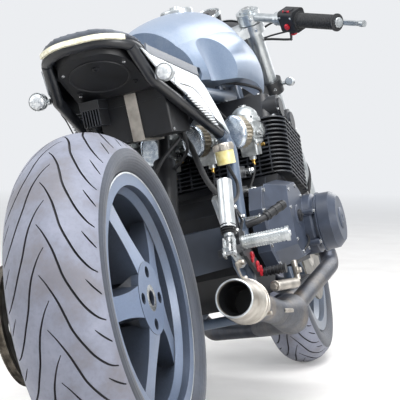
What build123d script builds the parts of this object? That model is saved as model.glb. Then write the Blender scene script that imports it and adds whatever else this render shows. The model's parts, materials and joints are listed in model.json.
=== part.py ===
"""A cafe racer motorcycle, parked on its side stand.

Every piece is drawn with the machine upright: x forward from the rear axle, y to the rider's left and z up
from the ground. At the end the front end is turned by the parked steering angle, the whole machine leans
onto its stand, and its origin moves to the middle of its footprint on the ground.
"""

import os
from math import asin, atan2, cos, degrees, hypot, pi, radians, sin, sqrt, tan

from build123d import *

os.makedirs("parts", exist_ok=True)

# Chassis lines
wheelbase = 1480
rake = 26
trail = 100
lean = 13.4
parked_steer = 4

# Clearances
seat_gap = 0.3
shaft_gap = 0.05

# Rear wheel and tyre
rear_radius = 315
rear_half_width = 91
rear_crown = 105
rear_tread_half = 86
rear_rim_half = 77
# Front wheel and tyre
front_radius = 300
front_half_width = 60
front_crown = 70
front_tread_half = 54
front_rim_half = 51
# Both wheels
flange_radius = 229
flange_width = 6
bead_radius = 217
barrel_wall = 8
spoke_count = 5
lug_circle = 47

# Fork and steering head
fork_half = 98
fork_tube = 20
slider_radius = 27
top_yoke_z = 920
top_yoke_thick = 26
lower_yoke_z = 752
lower_yoke_thick = 34
head_gap = 4
head_radius = 30
stem_radius = 13

# Engine
crank_x = 825
crank_z = 366
cylinder_lean = 20
cylinder_pitch = 94
case_half = 178
case_rear = 568
fin_half_width = 206
fin_half_depth = 95
fin_thick = 3
fin_pitch = 10
barrel_start = 100
barrel_fins = 10
head_fins = 4
cover_height = 62

# Frame tubes
tube_radius = 14
rail_radius = 11
cradle_half = 112
cradle_z = 205
post_half = 132
pivot_x = 530
pivot_z = 360

# Seat hoop, kicked up behind its knee
rail_half = 90
hoop_front_x = 578
hoop_front_z = 726
hoop_knee_x = 225
hoop_knee_z = 763
hoop_rear_x = 137
hoop_rear_z = 794
hoop_bend = 72
lug_x = 570
lug_top = 707
tail_plane = Plane(
    origin=(hoop_rear_x, 0, hoop_rear_z),
    x_dir=(hoop_knee_x - hoop_rear_x, 0, hoop_knee_z - hoop_rear_z),
    z_dir=(hoop_rear_z - hoop_knee_z, 0, hoop_knee_x - hoop_rear_x),
)


def hoop_height(x):
    """Height of the seat hoop's middle line at a place along the machine."""
    if x < hoop_knee_x:
        return hoop_rear_z + (hoop_knee_z - hoop_rear_z) * (x - hoop_rear_x) / (hoop_knee_x - hoop_rear_x)
    return hoop_knee_z + (hoop_front_z - hoop_knee_z) * (x - hoop_knee_x) / (hoop_front_x - hoop_knee_x)


# Steering axis, in the upright machine
head_foot = Vector(wheelbase + trail, 0, 0)
head_up = Vector(-sin(radians(rake)), 0, cos(radians(rake)))
head_forward = Vector(cos(radians(rake)), 0, sin(radians(rake)))
head_frame = Plane(origin=head_foot, x_dir=head_forward, z_dir=head_up)
rear_axle = Vector(0, 0, rear_radius)
front_axle = Vector(wheelbase, 0, front_radius)
fork_offset = front_radius * sin(radians(rake)) - trail * cos(radians(rake))
axle_z = front_radius * cos(radians(rake)) + trail * sin(radians(rake))

# Placement of the parked machine
steer_turn = head_frame.location * Location((0, 0, 0), (0, 0, parked_steer)) * head_frame.location.inverse()
leaned = Location((0, 0, 0), (-lean, 0, 0))


def rolled_height(place, axle, radius, crown):
    """How high a wheel's centre stands above the ground once its crown touches it."""
    axis = (place * Location(axle + Vector(0, 1, 0))).position - (place * Location(axle)).position
    return (radius - crown) * sqrt(1 - axis.Z**2) + crown


rear_height = rolled_height(leaned, rear_axle, rear_radius, rear_crown)
front_height = rolled_height(leaned * steer_turn, front_axle, front_radius, front_crown)
rear_centre = (leaned * Location(rear_axle)).position
front_centre = (leaned * steer_turn * Location(front_axle)).position
axle_line = front_centre - rear_centre
line_length = hypot(axle_line.X, axle_line.Z)
pitch = atan2(axle_line.Z, axle_line.X) - asin((front_height - rear_height) / line_length)
pitched = Location((0, 0, 0), (0, degrees(pitch), 0)) * leaned
lift = rear_height - (pitched * Location(rear_axle)).position.Z
standing = Location((0, 0, lift)) * pitched


def tube_run(points, radius, bend):
    """A round bar along straight runs joined by tangent arcs."""
    with BuildPart() as run:
        with BuildLine() as path:
            if len(points) > 2:
                FilletPolyline(*points, radius=bend)
            else:
                Line(*points)
        with BuildSketch(Plane(origin=path.line @ 0, z_dir=path.line % 0)):
            Circle(radius)
        sweep()
    return run.part


def both_sides(points):
    """The same run of points on the right and on the left."""
    return [[(x, -y, z) for x, y, z in points], points]


chassis = []
fork_body = []
front_rolling = []
rear_rolling = []
stand_body = []


def tyre_section(radius, crown, tread_half, half_width, rim_half, axle):
    """Half outline of a tyre between its beads, in the plane through the axle."""
    edge = radius - crown + sqrt(crown**2 - tread_half**2)
    bead_half = rim_half - flange_width - seat_gap
    lower = flange_radius + seat_gap
    with BuildSketch(Plane(origin=axle, x_dir=(0, 1, 0), z_dir=(1, 0, 0))) as section:
        with BuildLine():
            Polyline(
                (-bead_half, lower),
                (-bead_half, bead_radius + seat_gap),
                (bead_half, bead_radius + seat_gap),
                (bead_half, lower),
            )
            ThreePointArc((bead_half, lower), (half_width, (lower + edge) / 2 + 4), (tread_half, edge))
            ThreePointArc((tread_half, edge), (0, radius), (-tread_half, edge))
            ThreePointArc((-tread_half, edge), (-half_width, (lower + edge) / 2 + 4), (-bead_half, lower))
        make_face()
    return section.sketch


def rim_section(rim_half, axle):
    """Section of a cast rim: two flanges, the bead seats and the barrel between them."""
    bead_half = rim_half - flange_width
    inner = bead_radius - barrel_wall
    with BuildSketch(Plane(origin=axle, x_dir=(0, 1, 0), z_dir=(1, 0, 0))) as section:
        with BuildLine():
            Polyline(
                (-rim_half, inner - 4),
                (-rim_half, flange_radius),
                (-bead_half, flange_radius),
                (-bead_half, bead_radius),
                (bead_half, bead_radius),
                (bead_half, flange_radius),
                (rim_half, flange_radius),
                (rim_half, inner - 4),
                (bead_half - 8, inner - 4),
                (bead_half - 20, inner - 14),
                (-bead_half + 20, inner - 14),
                (-bead_half + 8, inner - 4),
                close=True,
            )
        make_face()
    return section.sketch


# Rear tyre
rear_axis = Axis(rear_axle, (0, 1, 0))
rear_tyre_outline = tyre_section(
    rear_radius, rear_crown, rear_tread_half, rear_half_width, rear_rim_half, rear_axle
)
with BuildPart() as rear_tyre:
    add(rear_tyre_outline)
    revolve(axis=rear_axis)
rear_tyre.part.label = "rear_tyre"
rear_rolling.append(rear_tyre)

# Front tyre
front_axis = Axis(front_axle, (0, 1, 0))
front_tyre_outline = tyre_section(
    front_radius, front_crown, front_tread_half, front_half_width, front_rim_half, front_axle
)
with BuildPart() as front_tyre:
    add(front_tyre_outline)
    revolve(axis=front_axis)
front_tyre.part.label = "front_tyre"
front_rolling.append(front_tyre)

# Rear wheel: a one sided wheel, its dished spokes standing out to the right, held by four nuts
rear_hub_radius = 66
rear_hub_face = -78
rear_hub_back = 26
spigot_end = -34
spindle_radius = 24
spindle_bore = 14
nut_recess = 10.5
nut_depth = 36
spoke_lead = 36
rim_inner = bead_radius - barrel_wall - 14


def spoke_outline(hub_radius, inner_half, waist_half, outer_half, reach):
    """One spoke seen from the side, waisted, from inside the hub to inside the rim."""
    start = hub_radius - 16
    middle = (hub_radius + reach) / 2
    with BuildSketch(Plane.XY) as outline:
        with BuildLine():
            Line((start, -inner_half), (start, inner_half))
            ThreePointArc((start, inner_half), (middle, waist_half), (reach, outer_half))
            Line((reach, outer_half), (reach, -outer_half))
            ThreePointArc((reach, -outer_half), (middle, -waist_half), (start, -inner_half))
        make_face()
    return outline.sketch


wheel_section = Plane(origin=rear_axle, x_dir=(0, 1, 0), z_dir=(1, 0, 0))
hub_plane = Plane(origin=rear_axle + Vector(0, rear_hub_back, 0), x_dir=(1, 0, 0), z_dir=(0, -1, 0))
hub_depth = rear_hub_back - rear_hub_face
with BuildPart() as rear_spokes:
    with BuildSketch(hub_plane):
        with PolarLocations(0, spoke_count, start_angle=spoke_lead):
            add(spoke_outline(rear_hub_radius, 31, 21, 30, rim_inner + 6))
    extrude(amount=hub_depth)
    with BuildSketch(wheel_section):
        with BuildLine():
            Polyline(
                (rear_hub_face, 30),
                (rear_hub_face, rear_hub_radius - 4),
                (rear_hub_face + 30, rim_inner + 8),
                (rear_hub_face + 54, rim_inner + 8),
                (rear_hub_face + 62, rear_hub_radius - 4),
                (rear_hub_face + 62, 30),
                close=True,
            )
        make_face()
    revolve(axis=rear_axis, mode=Mode.INTERSECT)

with BuildPart() as rear_wheel:
    add(rim_section(rear_rim_half, rear_axle))
    revolve(axis=rear_axis)
    add(rear_spokes.part)
    with BuildSketch(wheel_section):
        with BuildLine():
            Polyline(
                (rear_hub_face, spindle_bore),
                (rear_hub_face, rear_hub_radius),
                (rear_hub_face + 14, rear_hub_radius),
                (-30, 52),
                (10, 52),
                (rear_hub_back, 64),
                (rear_hub_back, spindle_radius + seat_gap),
                (spigot_end - seat_gap, spindle_radius + seat_gap),
                (spigot_end - seat_gap, spindle_bore),
                close=True,
            )
        make_face()
    revolve(axis=rear_axis)
    with BuildSketch(hub_plane.offset(hub_depth)):
        with PolarLocations(lug_circle, 4, start_angle=-5):
            Circle(nut_recess)
    extrude(amount=-nut_depth, mode=Mode.SUBTRACT)
rear_wheel.part.label = "rear_wheel"
rear_rolling.append(rear_wheel)

# Rear spindle: flange behind the wheel, a spigot into its hub, hollow shaft through the arm
arm_inner = 104
arm_width = 52
sprocket_y = arm_inner + arm_width + 18
spindle_end = sprocket_y + 22
disc_y = rear_hub_back + 22
disc_radius = 128
disc_thick = 6
with BuildPart() as rear_spindle:
    with BuildSketch(wheel_section):
        with BuildLine():
            Polyline(
                (spigot_end, spindle_bore),
                (spigot_end, spindle_radius),
                (rear_hub_back + seat_gap, spindle_radius),
                (rear_hub_back + seat_gap, 64),
                (disc_y - seat_gap, 64),
                (disc_y - seat_gap, 40),
                (disc_y + disc_thick + 12, 40),
                (arm_inner - 2, 34),
                (arm_inner - 2, spindle_radius),
                (spindle_end, spindle_radius),
                (spindle_end, spindle_bore),
                close=True,
            )
        make_face()
    revolve(axis=rear_axis)
rear_spindle.part.label = "rear_spindle"
rear_rolling.append(rear_spindle)

# Rear brake disc, drilled
with BuildPart() as rear_disc:
    with BuildSketch(Plane(origin=rear_axle + Vector(0, disc_y, 0), x_dir=(1, 0, 0), z_dir=(0, 1, 0))):
        Circle(disc_radius)
        Circle(40 + seat_gap, mode=Mode.SUBTRACT)
        for hole_ring, turn in ((95, 0), (112, 12)):
            with PolarLocations(hole_ring, 15, start_angle=turn):
                Circle(4.5, mode=Mode.SUBTRACT)
    extrude(amount=disc_thick)
rear_disc.part.label = "rear_disc"
rear_rolling.append(rear_disc)

# Chain line
chain_pitch = 15.875
rear_teeth = 42
front_teeth = 16
rear_pitch_radius = chain_pitch / 2 / sin(pi / rear_teeth)
front_pitch_radius = chain_pitch / 2 / sin(pi / front_teeth)
sprocket_thick = 8
roller = 5
output_x = 640
output_z = 368

# Rear sprocket
with BuildPart() as rear_sprocket:
    sprocket_plane = Plane(
        origin=rear_axle + Vector(0, sprocket_y - sprocket_thick / 2, 0), x_dir=(1, 0, 0), z_dir=(0, -1, 0)
    )
    with BuildSketch(sprocket_plane):
        Circle(rear_pitch_radius - 9)
        with PolarLocations(rear_pitch_radius - 11, rear_teeth):
            Rectangle(8, 7)
        Circle(spindle_radius + seat_gap, mode=Mode.SUBTRACT)
        with PolarLocations(60, 6):
            Circle(13, mode=Mode.SUBTRACT)
    extrude(amount=sprocket_thick, both=False, dir=(0, 1, 0))
rear_sprocket.part.label = "rear_sprocket"
rear_rolling.append(rear_sprocket)

# Front wheel: two sided cast wheel with five spokes
front_hub_half = 42
front_hub_radius = 42
front_axle_radius = 10
front_disc_y = 58
front_disc_radius = 148
with BuildPart() as front_wheel:
    add(rim_section(front_rim_half, front_axle))
    revolve(axis=front_axis)
    front_hub_plane = Plane(origin=front_axle - Vector(0, front_hub_half, 0), x_dir=(1, 0, 0), z_dir=(0, 1, 0))
    with BuildSketch(front_hub_plane):
        Circle(front_hub_radius)
    extrude(amount=2 * front_hub_half)
    with BuildSketch(front_hub_plane.offset(front_hub_half - 13)):
        with PolarLocations(0, spoke_count, start_angle=90):
            add(spoke_outline(front_hub_radius, 24, 15, 20, rim_inner + 6))
    extrude(amount=26)
    with BuildSketch(front_hub_plane):
        Circle(front_axle_radius + shaft_gap)
    extrude(amount=2 * front_hub_half, mode=Mode.SUBTRACT)
front_wheel.part.label = "front_wheel"
front_rolling.append(front_wheel)

# Front brake discs on their carriers
with BuildPart() as front_discs:
    for side in (-1, 1):
        with BuildSketch(Plane(origin=front_axle, x_dir=(0, side, 0), z_dir=(side, 0, 0))):
            with BuildLine():
                Polyline(
                    (front_hub_half + seat_gap, 24),
                    (front_hub_half + seat_gap, 40),
                    (front_disc_y, 66),
                    (front_disc_y, front_disc_radius),
                    (front_disc_y + 5, front_disc_radius),
                    (front_disc_y + 5, 60),
                    (front_hub_half + 7, 24),
                    close=True,
                )
            make_face()
        revolve(axis=front_axis)
front_discs.part.label = "front_discs"
front_rolling.append(front_discs)

# Fork legs: two tubes in their sliders, joined by the wheel's axle
slider_top = axle_z + 322
caliper_rise = 105
caliper_set = 40
clip_z = top_yoke_z + top_yoke_thick + 2
clip_height = 28
fork_top = clip_z + clip_height + 6
axle_plane = Plane(origin=front_axle, x_dir=(1, 0, 0), z_dir=(0, 1, 0))
with BuildPart() as fork_legs:
    for side in (-1, 1):
        leg = head_frame.offset(axle_z - 30)
        with BuildSketch(leg):
            with Locations((fork_offset, side * fork_half)):
                Circle(slider_radius)
        extrude(amount=slider_top - axle_z + 30)
        with BuildSketch(leg.offset(slider_top - axle_z + 30)):
            with Locations((fork_offset, side * fork_half)):
                Circle(fork_tube)
        extrude(amount=fork_top - slider_top)
    with BuildSketch(axle_plane.offset(-fork_half)):
        Circle(front_axle_radius)
    extrude(amount=2 * fork_half)
    for side in (-1, 1):
        with BuildSketch(head_frame.offset(axle_z + caliper_rise - 30)):
            with Locations((fork_offset - caliper_set / 2, side * (fork_half - 8))):
                Rectangle(caliper_set, 20)
        extrude(amount=60)
fork_legs.part.label = "fork_legs"
fork_body.append(fork_legs)

# Yokes: two plates that clamp the legs, joined by the steering stem
clamp_wall = 10
boss_reach = 52
boss_half = 22
with BuildPart() as yokes:
    for level, thick in ((lower_yoke_z, lower_yoke_thick), (top_yoke_z, top_yoke_thick)):
        with BuildSketch(head_frame.offset(level)):
            with Locations((fork_offset, -fork_half), (fork_offset, fork_half)):
                Circle(fork_tube + clamp_wall)
            Circle(head_radius)
            with Locations((boss_reach / 2, 0)):
                Rectangle(boss_reach, 2 * boss_half)
            with BuildLine():
                Polyline(
                    (-24, -20),
                    (fork_offset - 26, -fork_half),
                    (fork_offset + 18, -fork_half),
                    (26, 0),
                    (fork_offset + 18, fork_half),
                    (fork_offset - 26, fork_half),
                    (-24, 20),
                    close=True,
                )
            make_face()
        extrude(amount=thick)
    with BuildSketch(head_frame.offset(lower_yoke_z)):
        with Locations((fork_offset, -fork_half), (fork_offset, fork_half)):
            Circle(fork_tube + seat_gap)
    extrude(amount=top_yoke_z + top_yoke_thick - lower_yoke_z, mode=Mode.SUBTRACT)
    with BuildSketch(head_frame.offset(lower_yoke_z)):
        Circle(stem_radius)
    extrude(amount=top_yoke_z + top_yoke_thick + 14 - lower_yoke_z)
yokes.part.label = "yokes"
fork_body.append(yokes)

# Side stand geometry: the foot is set on the ground first, then brought into the upright machine
stand_pivot = Vector(650, 146, 180)
stand_forward = 70
stand_out = 105
stand_fold = Vector(-0.97, 0.1, -0.22)
pivot_on_ground = (standing * Location(stand_pivot)).position
foot_on_ground = Vector(pivot_on_ground.X + stand_forward, pivot_on_ground.Y + stand_out, 0)
foot_point = (standing.inverse() * Location(foot_on_ground)).position
ground_up = (standing.inverse() * Location(foot_on_ground + Vector(0, 0, 1))).position - foot_point
stand_leg = (foot_point - stand_pivot).normalized()
stand_axis = stand_leg.cross(stand_fold.normalized()).normalized()
stand_range = stand_leg.get_angle(stand_fold)
stand_pin = 7
stand_eye = 16
stand_eye_thick = 14

# Frame: two cradle loops welded to the steering head, with pivot plates
plate_inner = 119
plate_thick = 9
pivot_bolt = 12
bolt_hole = 12.5
frame_runs = [
    tube_run(
        [(stand_pivot.X, cradle_half, cradle_z), tuple(stand_pivot - stand_axis * (seat_gap + 12))],
        9,
        0,
    )
]
for run in both_sides(
    [
        (1204, 22, 751),
        (985, cradle_half, cradle_z),
        (590, cradle_half, cradle_z),
        (508, post_half, 320),
        (583, post_half, 560),
        (560, rail_half + 2, 690),
        (985, 62, 690),
        (1178, 24, 778),
    ]
):
    with BuildPart() as frame_loop:
        add(tube_run(run, tube_radius, 50))
        with BuildSketch(Plane.XZ):
            with Locations((pivot_x, pivot_z)):
                Circle(bolt_hole)
        extrude(amount=170, both=True, mode=Mode.SUBTRACT)
    frame_runs.append(frame_loop.part)
tank_rests = ((612, 690), (900, 690))
rest_half = 58
rest_radius = 9
rest_top = 718
for cross_x, cross_half, cross_z in ((610, 86, 690), (900, 68, 690), (620, cradle_half, cradle_z)):
    frame_runs.append(tube_run([(cross_x, -cross_half, cross_z), (cross_x, cross_half, cross_z)], 11, 0))
frame_runs.append(tube_run([(572, -post_half - 2, 532), (489.3, -146, 540)], 4, 0))
strut_start = Vector(554, 123.5, 596)
strut_knee = Vector(232, 98, 710)
strut_dir = (strut_knee - strut_start).normalized()
with BuildPart() as frame:
    add(frame_runs)
    with BuildSketch(head_frame.offset(lower_yoke_z + lower_yoke_thick + head_gap)):
        Circle(head_radius)
    extrude(amount=top_yoke_z - lower_yoke_z - lower_yoke_thick - 2 * head_gap)
    with BuildSketch(head_frame.offset(lower_yoke_z)):
        Circle(stem_radius + shaft_gap)
    extrude(amount=top_yoke_z - lower_yoke_z, mode=Mode.SUBTRACT)
    for rest_x, rest_z in tank_rests:
        with BuildSketch(Plane.XY.offset(rest_z)):
            with Locations((rest_x, -rest_half), (rest_x, rest_half)):
                Circle(rest_radius)
        extrude(amount=rest_top - rest_z)
    for side in (-1, 1):
        plate_plane = Plane(origin=(pivot_x, side * plate_inner, pivot_z), x_dir=(1, 0, 0), z_dir=(0, -1, 0))
        with BuildSketch(plate_plane):
            with BuildLine():
                Polyline((-78, -38), (-30, -78), (44, -110), (40, 40), (14, 84), (-78, 32), close=True)
            make_face()
            Circle(bolt_hole, mode=Mode.SUBTRACT)
        extrude(amount=-side * plate_thick)
        lug_start = Vector(strut_start.X, side * strut_start.Y, strut_start.Z)
        lug_dir = Vector(-strut_dir.X, -side * strut_dir.Y, -strut_dir.Z)
        with BuildSketch(Plane(origin=lug_start, z_dir=lug_dir)):
            Circle(rail_radius + 2)
        extrude(amount=30)
        with Locations((lug_x, side * rail_half, (lug_top + 668) / 2)):
            Box(24, 14, lug_top - 668)
    with BuildSketch(Plane(origin=stand_pivot - stand_axis * (seat_gap + 10), z_dir=stand_axis)):
        Circle(stand_eye)
    extrude(amount=10)
    with BuildSketch(Plane(origin=stand_pivot - stand_axis * 6, z_dir=stand_axis)):
        Circle(stand_pin)
    extrude(amount=6 + stand_eye_thick + seat_gap + 4)
    with BuildSketch(Plane(origin=stand_pivot + stand_axis * (stand_eye_thick + seat_gap), z_dir=stand_axis)):
        Circle(stand_pin + 4)
    extrude(amount=4)
frame.part.label = "frame"
chassis.append(frame)

# Subframe: kicked up seat hoop and two struts
subframe_runs = [
    tube_run(
        [
            (hoop_front_x, -rail_half, hoop_front_z),
            (hoop_knee_x, -rail_half, hoop_knee_z),
            (hoop_rear_x, -rail_half, hoop_rear_z),
            (hoop_rear_x, rail_half, hoop_rear_z),
            (hoop_knee_x, rail_half, hoop_knee_z),
            (hoop_front_x, rail_half, hoop_front_z),
        ],
        rail_radius,
        hoop_bend,
    )
]
strut_top = Vector(178, rail_half - 5, hoop_height(178) - 3)
for side in (-1, 1):
    points = [(spot.X, side * spot.Y, spot.Z) for spot in (strut_start, strut_knee, strut_top)]
    subframe_runs.append(tube_run(points, rail_radius, 30))
with BuildPart() as subframe:
    add(subframe_runs)
    for side in (-1, 1):
        with Locations((lug_x, side * rail_half, (lug_top + seat_gap + hoop_height(lug_x)) / 2)):
            Box(28, 16, hoop_height(lug_x) - lug_top - seat_gap)
subframe.part.label = "subframe"
chassis.append(subframe)

# Swingarm: a one sided box arm, seen from above and then cut to its side profile
with BuildPart() as swingarm:
    with BuildSketch(Plane.XY.offset(240)):
        with BuildLine():
            Polyline(
                (pivot_x + 34, -plate_inner + 2),
                (pivot_x - 52, -plate_inner + 2),
                (pivot_x - 90, -20),
                (350, arm_inner),
                (0, arm_inner),
                (0, arm_inner + arm_width),
                (390, arm_inner + arm_width),
                (pivot_x - 84, plate_inner - 2),
                (pivot_x + 34, plate_inner - 2),
                close=True,
            )
        make_face()
    extrude(amount=220)
    with BuildSketch(Plane(origin=(0, -200, 0), x_dir=(1, 0, 0), z_dir=(0, -1, 0))):
        with BuildLine():
            Polyline(
                (pivot_x + 34, pivot_z - 30),
                (pivot_x + 34, pivot_z + 30),
                (pivot_x - 60, pivot_z + 46),
                (60, rear_radius + 46),
                (-10, rear_radius + 46),
                (-10, rear_radius - 46),
                (60, rear_radius - 46),
                (pivot_x - 70, pivot_z - 40),
                close=True,
            )
        make_face()
    extrude(amount=-500, mode=Mode.INTERSECT)
    with BuildSketch(Plane(origin=rear_axle + Vector(0, arm_inner, 0), x_dir=(1, 0, 0), z_dir=(0, -1, 0))):
        Circle(66)
    extrude(amount=-arm_width)
    with BuildSketch(Plane(origin=rear_axle + Vector(0, arm_inner, 0), x_dir=(1, 0, 0), z_dir=(0, -1, 0))):
        Circle(spindle_radius + shaft_gap)
    extrude(amount=-arm_width, mode=Mode.SUBTRACT)
    with BuildSketch(Plane(origin=(pivot_x, -plate_inner - plate_thick - 6, pivot_z), x_dir=(1, 0, 0), z_dir=(0, 1, 0))):
        Circle(pivot_bolt)
    extrude(amount=2 * (plate_inner + plate_thick + 6))
swingarm.part.label = "swingarm"
chassis.append(swingarm)

# Crankcase: gearbox, wider crank chamber and a narrow sump
deck_half = 92
deck_x = crank_x + barrel_start * sin(radians(cylinder_lean))
deck_z = crank_z + barrel_start * cos(radians(cylinder_lean))
deck_run = deck_half * cos(radians(cylinder_lean))
deck_fall = deck_half * sin(radians(cylinder_lean))
gearbox_half = 150
sump_half = 96
sump_top = 288
sprocket_cut = 702
rear_deck = (deck_x - deck_run, deck_z + deck_fall)
front_deck = (deck_x + deck_run, deck_z - deck_fall)
case_outline = [
    (case_rear, 300),
    (case_rear + 4, 432),
    (640, 466),
    (rear_deck[0] - 20, 476),
    rear_deck,
    front_deck,
    (948, 360),
    (925, 290),
    (860, 236),
    (640, 226),
]
chamber_outline = [(722, sump_top), (722, 440), rear_deck, front_deck, (948, 360), (925, sump_top)]
with BuildPart() as crankcase:
    for half, outline in ((gearbox_half, case_outline), (case_half, chamber_outline)):
        with BuildSketch(Plane(origin=(0, half, 0), x_dir=(1, 0, 0), z_dir=(0, -1, 0))):
            with BuildLine():
                Polyline(*outline, close=True)
            make_face()
        extrude(amount=2 * half)
    for side in (-1, 1):
        with Locations((case_rear + 20, side * 165, 350)):
            Box(120, 92, 400, mode=Mode.SUBTRACT)
        with Locations((760, side * (sump_half + 50), sump_top - 50)):
            Box(460, 100, 100, mode=Mode.SUBTRACT)
    with Locations((sprocket_cut - 100, 150 + 60, 350)):
        Box(200, 120, 400, mode=Mode.SUBTRACT)
    with BuildSketch(Plane(origin=(output_x, 100, output_z), x_dir=(1, 0, 0), z_dir=(0, 1, 0))):
        Circle(12)
    extrude(amount=sprocket_y + 12 - 100)
    with BuildSketch(Plane(origin=(output_x, sprocket_y - 4, output_z), x_dir=(1, 0, 0), z_dir=(0, 1, 0))):
        Circle(front_pitch_radius - roller - seat_gap)
    extrude(amount=8)
crankcase.part.label = "crankcase"
chassis.append(crankcase)

# Engine covers: faceted clutch cover, round can on the crank's right end, two covers on the left
clutch_foot = [(560, 335), (556, 425), (592, 470), (708, 470), (712, 300), (610, 296)]
clutch_rise = [(655, 335), (650, 420), (665, 461), (745, 465), (793, 440), (796, 360), (765, 308), (690, 305)]
clutch_base = [(590, 330), (584, 428), (614, 474), (745, 478), (808, 452), (812, 352), (775, 294), (640, 294)]
clutch_face = 215
can_steps = (
    # distance out from the crankcase, radius
    (0, 66),
    (52, 66),
    (58, 60),
    (64, 60),
    (68, 64),
    (94, 63),
    (108, 50),
)
with BuildPart() as engine_covers:
    with BuildSketch(Plane(origin=(0, -gearbox_half, 0), x_dir=(1, 0, 0), z_dir=(0, -1, 0))):
        with BuildLine():
            Polyline(*clutch_foot, close=True)
        make_face()
    extrude(amount=case_half - gearbox_half)
    with BuildSketch(Plane(origin=(0, -case_half, 0), x_dir=(1, 0, 0), z_dir=(0, -1, 0))):
        with BuildLine():
            Polyline(*clutch_base, close=True)
        make_face()
    with BuildSketch(Plane(origin=(0, -clutch_face, 0), x_dir=(1, 0, 0), z_dir=(0, -1, 0))):
        with BuildLine():
            Polyline(*clutch_rise, close=True)
        make_face()
    loft(ruled=True)
    with BuildSketch(Plane(origin=(crank_x, 0, crank_z), x_dir=(0, -1, 0), z_dir=(1, 0, 0))):
        with BuildLine():
            Polyline(
                (case_half, 0),
                *[(case_half + out, radius) for out, radius in can_steps],
                (case_half + can_steps[-1][0], 0),
                close=True,
            )
        make_face()
    revolve(axis=Axis((crank_x, 0, crank_z), (0, 1, 0)))
    with BuildSketch(Plane(origin=(crank_x, case_half, crank_z), x_dir=(1, 0, 0), z_dir=(0, 1, 0))):
        Circle(70)
    extrude(amount=70, taper=6)
    with BuildSketch(Plane(origin=(sprocket_cut - 18, case_half, 366), x_dir=(1, 0, 0), z_dir=(0, 1, 0))):
        RectangleRounded(134, 130, 24)
    extrude(amount=34)
    with Locations((sprocket_cut - 100, case_half + 5, 366)):
        Box(200, 20, 300, mode=Mode.SUBTRACT)
engine_covers.part.label = "engine_covers"
chassis.append(engine_covers)

# Cylinders: a core with cooling fins across it
barrel_up = Vector(sin(radians(cylinder_lean)), 0, cos(radians(cylinder_lean)))
barrel_frame = Plane(
    origin=(crank_x, 0, crank_z),
    x_dir=(cos(radians(cylinder_lean)), 0, -sin(radians(cylinder_lean))),
    z_dir=barrel_up,
)
fin_count = barrel_fins + head_fins
cylinder_rows = [(n - 1.5) * cylinder_pitch for n in range(4)]
intake_radius = 25
intake_slope = 0
exhaust_slope = 40
pipe_radius = 20
port_length = 12
intake_rise = 208
exhaust_rise = 212


def intake_frame(row):
    """Plane of one intake port on the back of the head, its normal pointing back along the port."""
    port = barrel_frame.from_local_coords(Vector(-fin_half_depth, row, intake_rise))
    back = Vector(-cos(radians(intake_slope)), 0, -sin(radians(intake_slope)))
    return Plane(origin=port, x_dir=(0, 1, 0), z_dir=back)


def exhaust_frame(row):
    """Plane of one exhaust port on the front of the head, its normal pointing forward and down."""
    port = barrel_frame.from_local_coords(Vector(fin_half_depth, row, exhaust_rise))
    out = Vector(cos(radians(exhaust_slope)), 0, -sin(radians(exhaust_slope)))
    return Plane(origin=port, x_dir=(0, 1, 0), z_dir=out)


barrel_top = barrel_start + fin_count * fin_pitch
with BuildPart() as cylinders:
    with BuildSketch(barrel_frame.offset(barrel_start)):
        RectangleRounded(2 * fin_half_depth - 40, 2 * fin_half_width - 50, 24)
    extrude(amount=barrel_top - barrel_start)
    for fin in range(fin_count):
        with BuildSketch(barrel_frame.offset(barrel_start + fin * fin_pitch + 4)):
            RectangleRounded(2 * fin_half_depth, 2 * fin_half_width, 36)
        extrude(amount=fin_thick)
    for row in cylinder_rows:
        with BuildSketch(intake_frame(row).offset(-26)):
            Circle(intake_radius + 1)
        extrude(amount=26 + port_length)
        with BuildSketch(exhaust_frame(row).offset(-22)):
            Circle(pipe_radius + 5)
        extrude(amount=22 + port_length)
cylinders.part.label = "cylinders"
chassis.append(cylinders)

# Cam cover, with a round cap on each end of both camshafts
cam_spacing = 96
cam_cap_radius = 29
cover_half = 178
with BuildPart() as cam_cover:
    with BuildSketch(barrel_frame.offset(barrel_top)):
        RectangleRounded(156, 2 * cover_half, 20)
    extrude(amount=cover_height, taper=4)
    for side in (-1, 1):
        for cam in (-cam_spacing / 2, cam_spacing / 2):
            cap_foot = barrel_frame.from_local_coords(Vector(cam, side * (cover_half - 20), barrel_top + 31))
            with BuildSketch(Plane(origin=cap_foot, x_dir=barrel_frame.x_dir, z_dir=(0, side, 0))):
                Circle(cam_cap_radius)
            extrude(amount=34)
            with BuildSketch(Plane(origin=cap_foot + Vector(0, side * 34, 0), x_dir=barrel_frame.x_dir, z_dir=(0, side, 0))):
                Circle(cam_cap_radius - 8)
            extrude(amount=5)
cam_cover.part.label = "cam_cover"
chassis.append(cam_cover)

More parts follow.
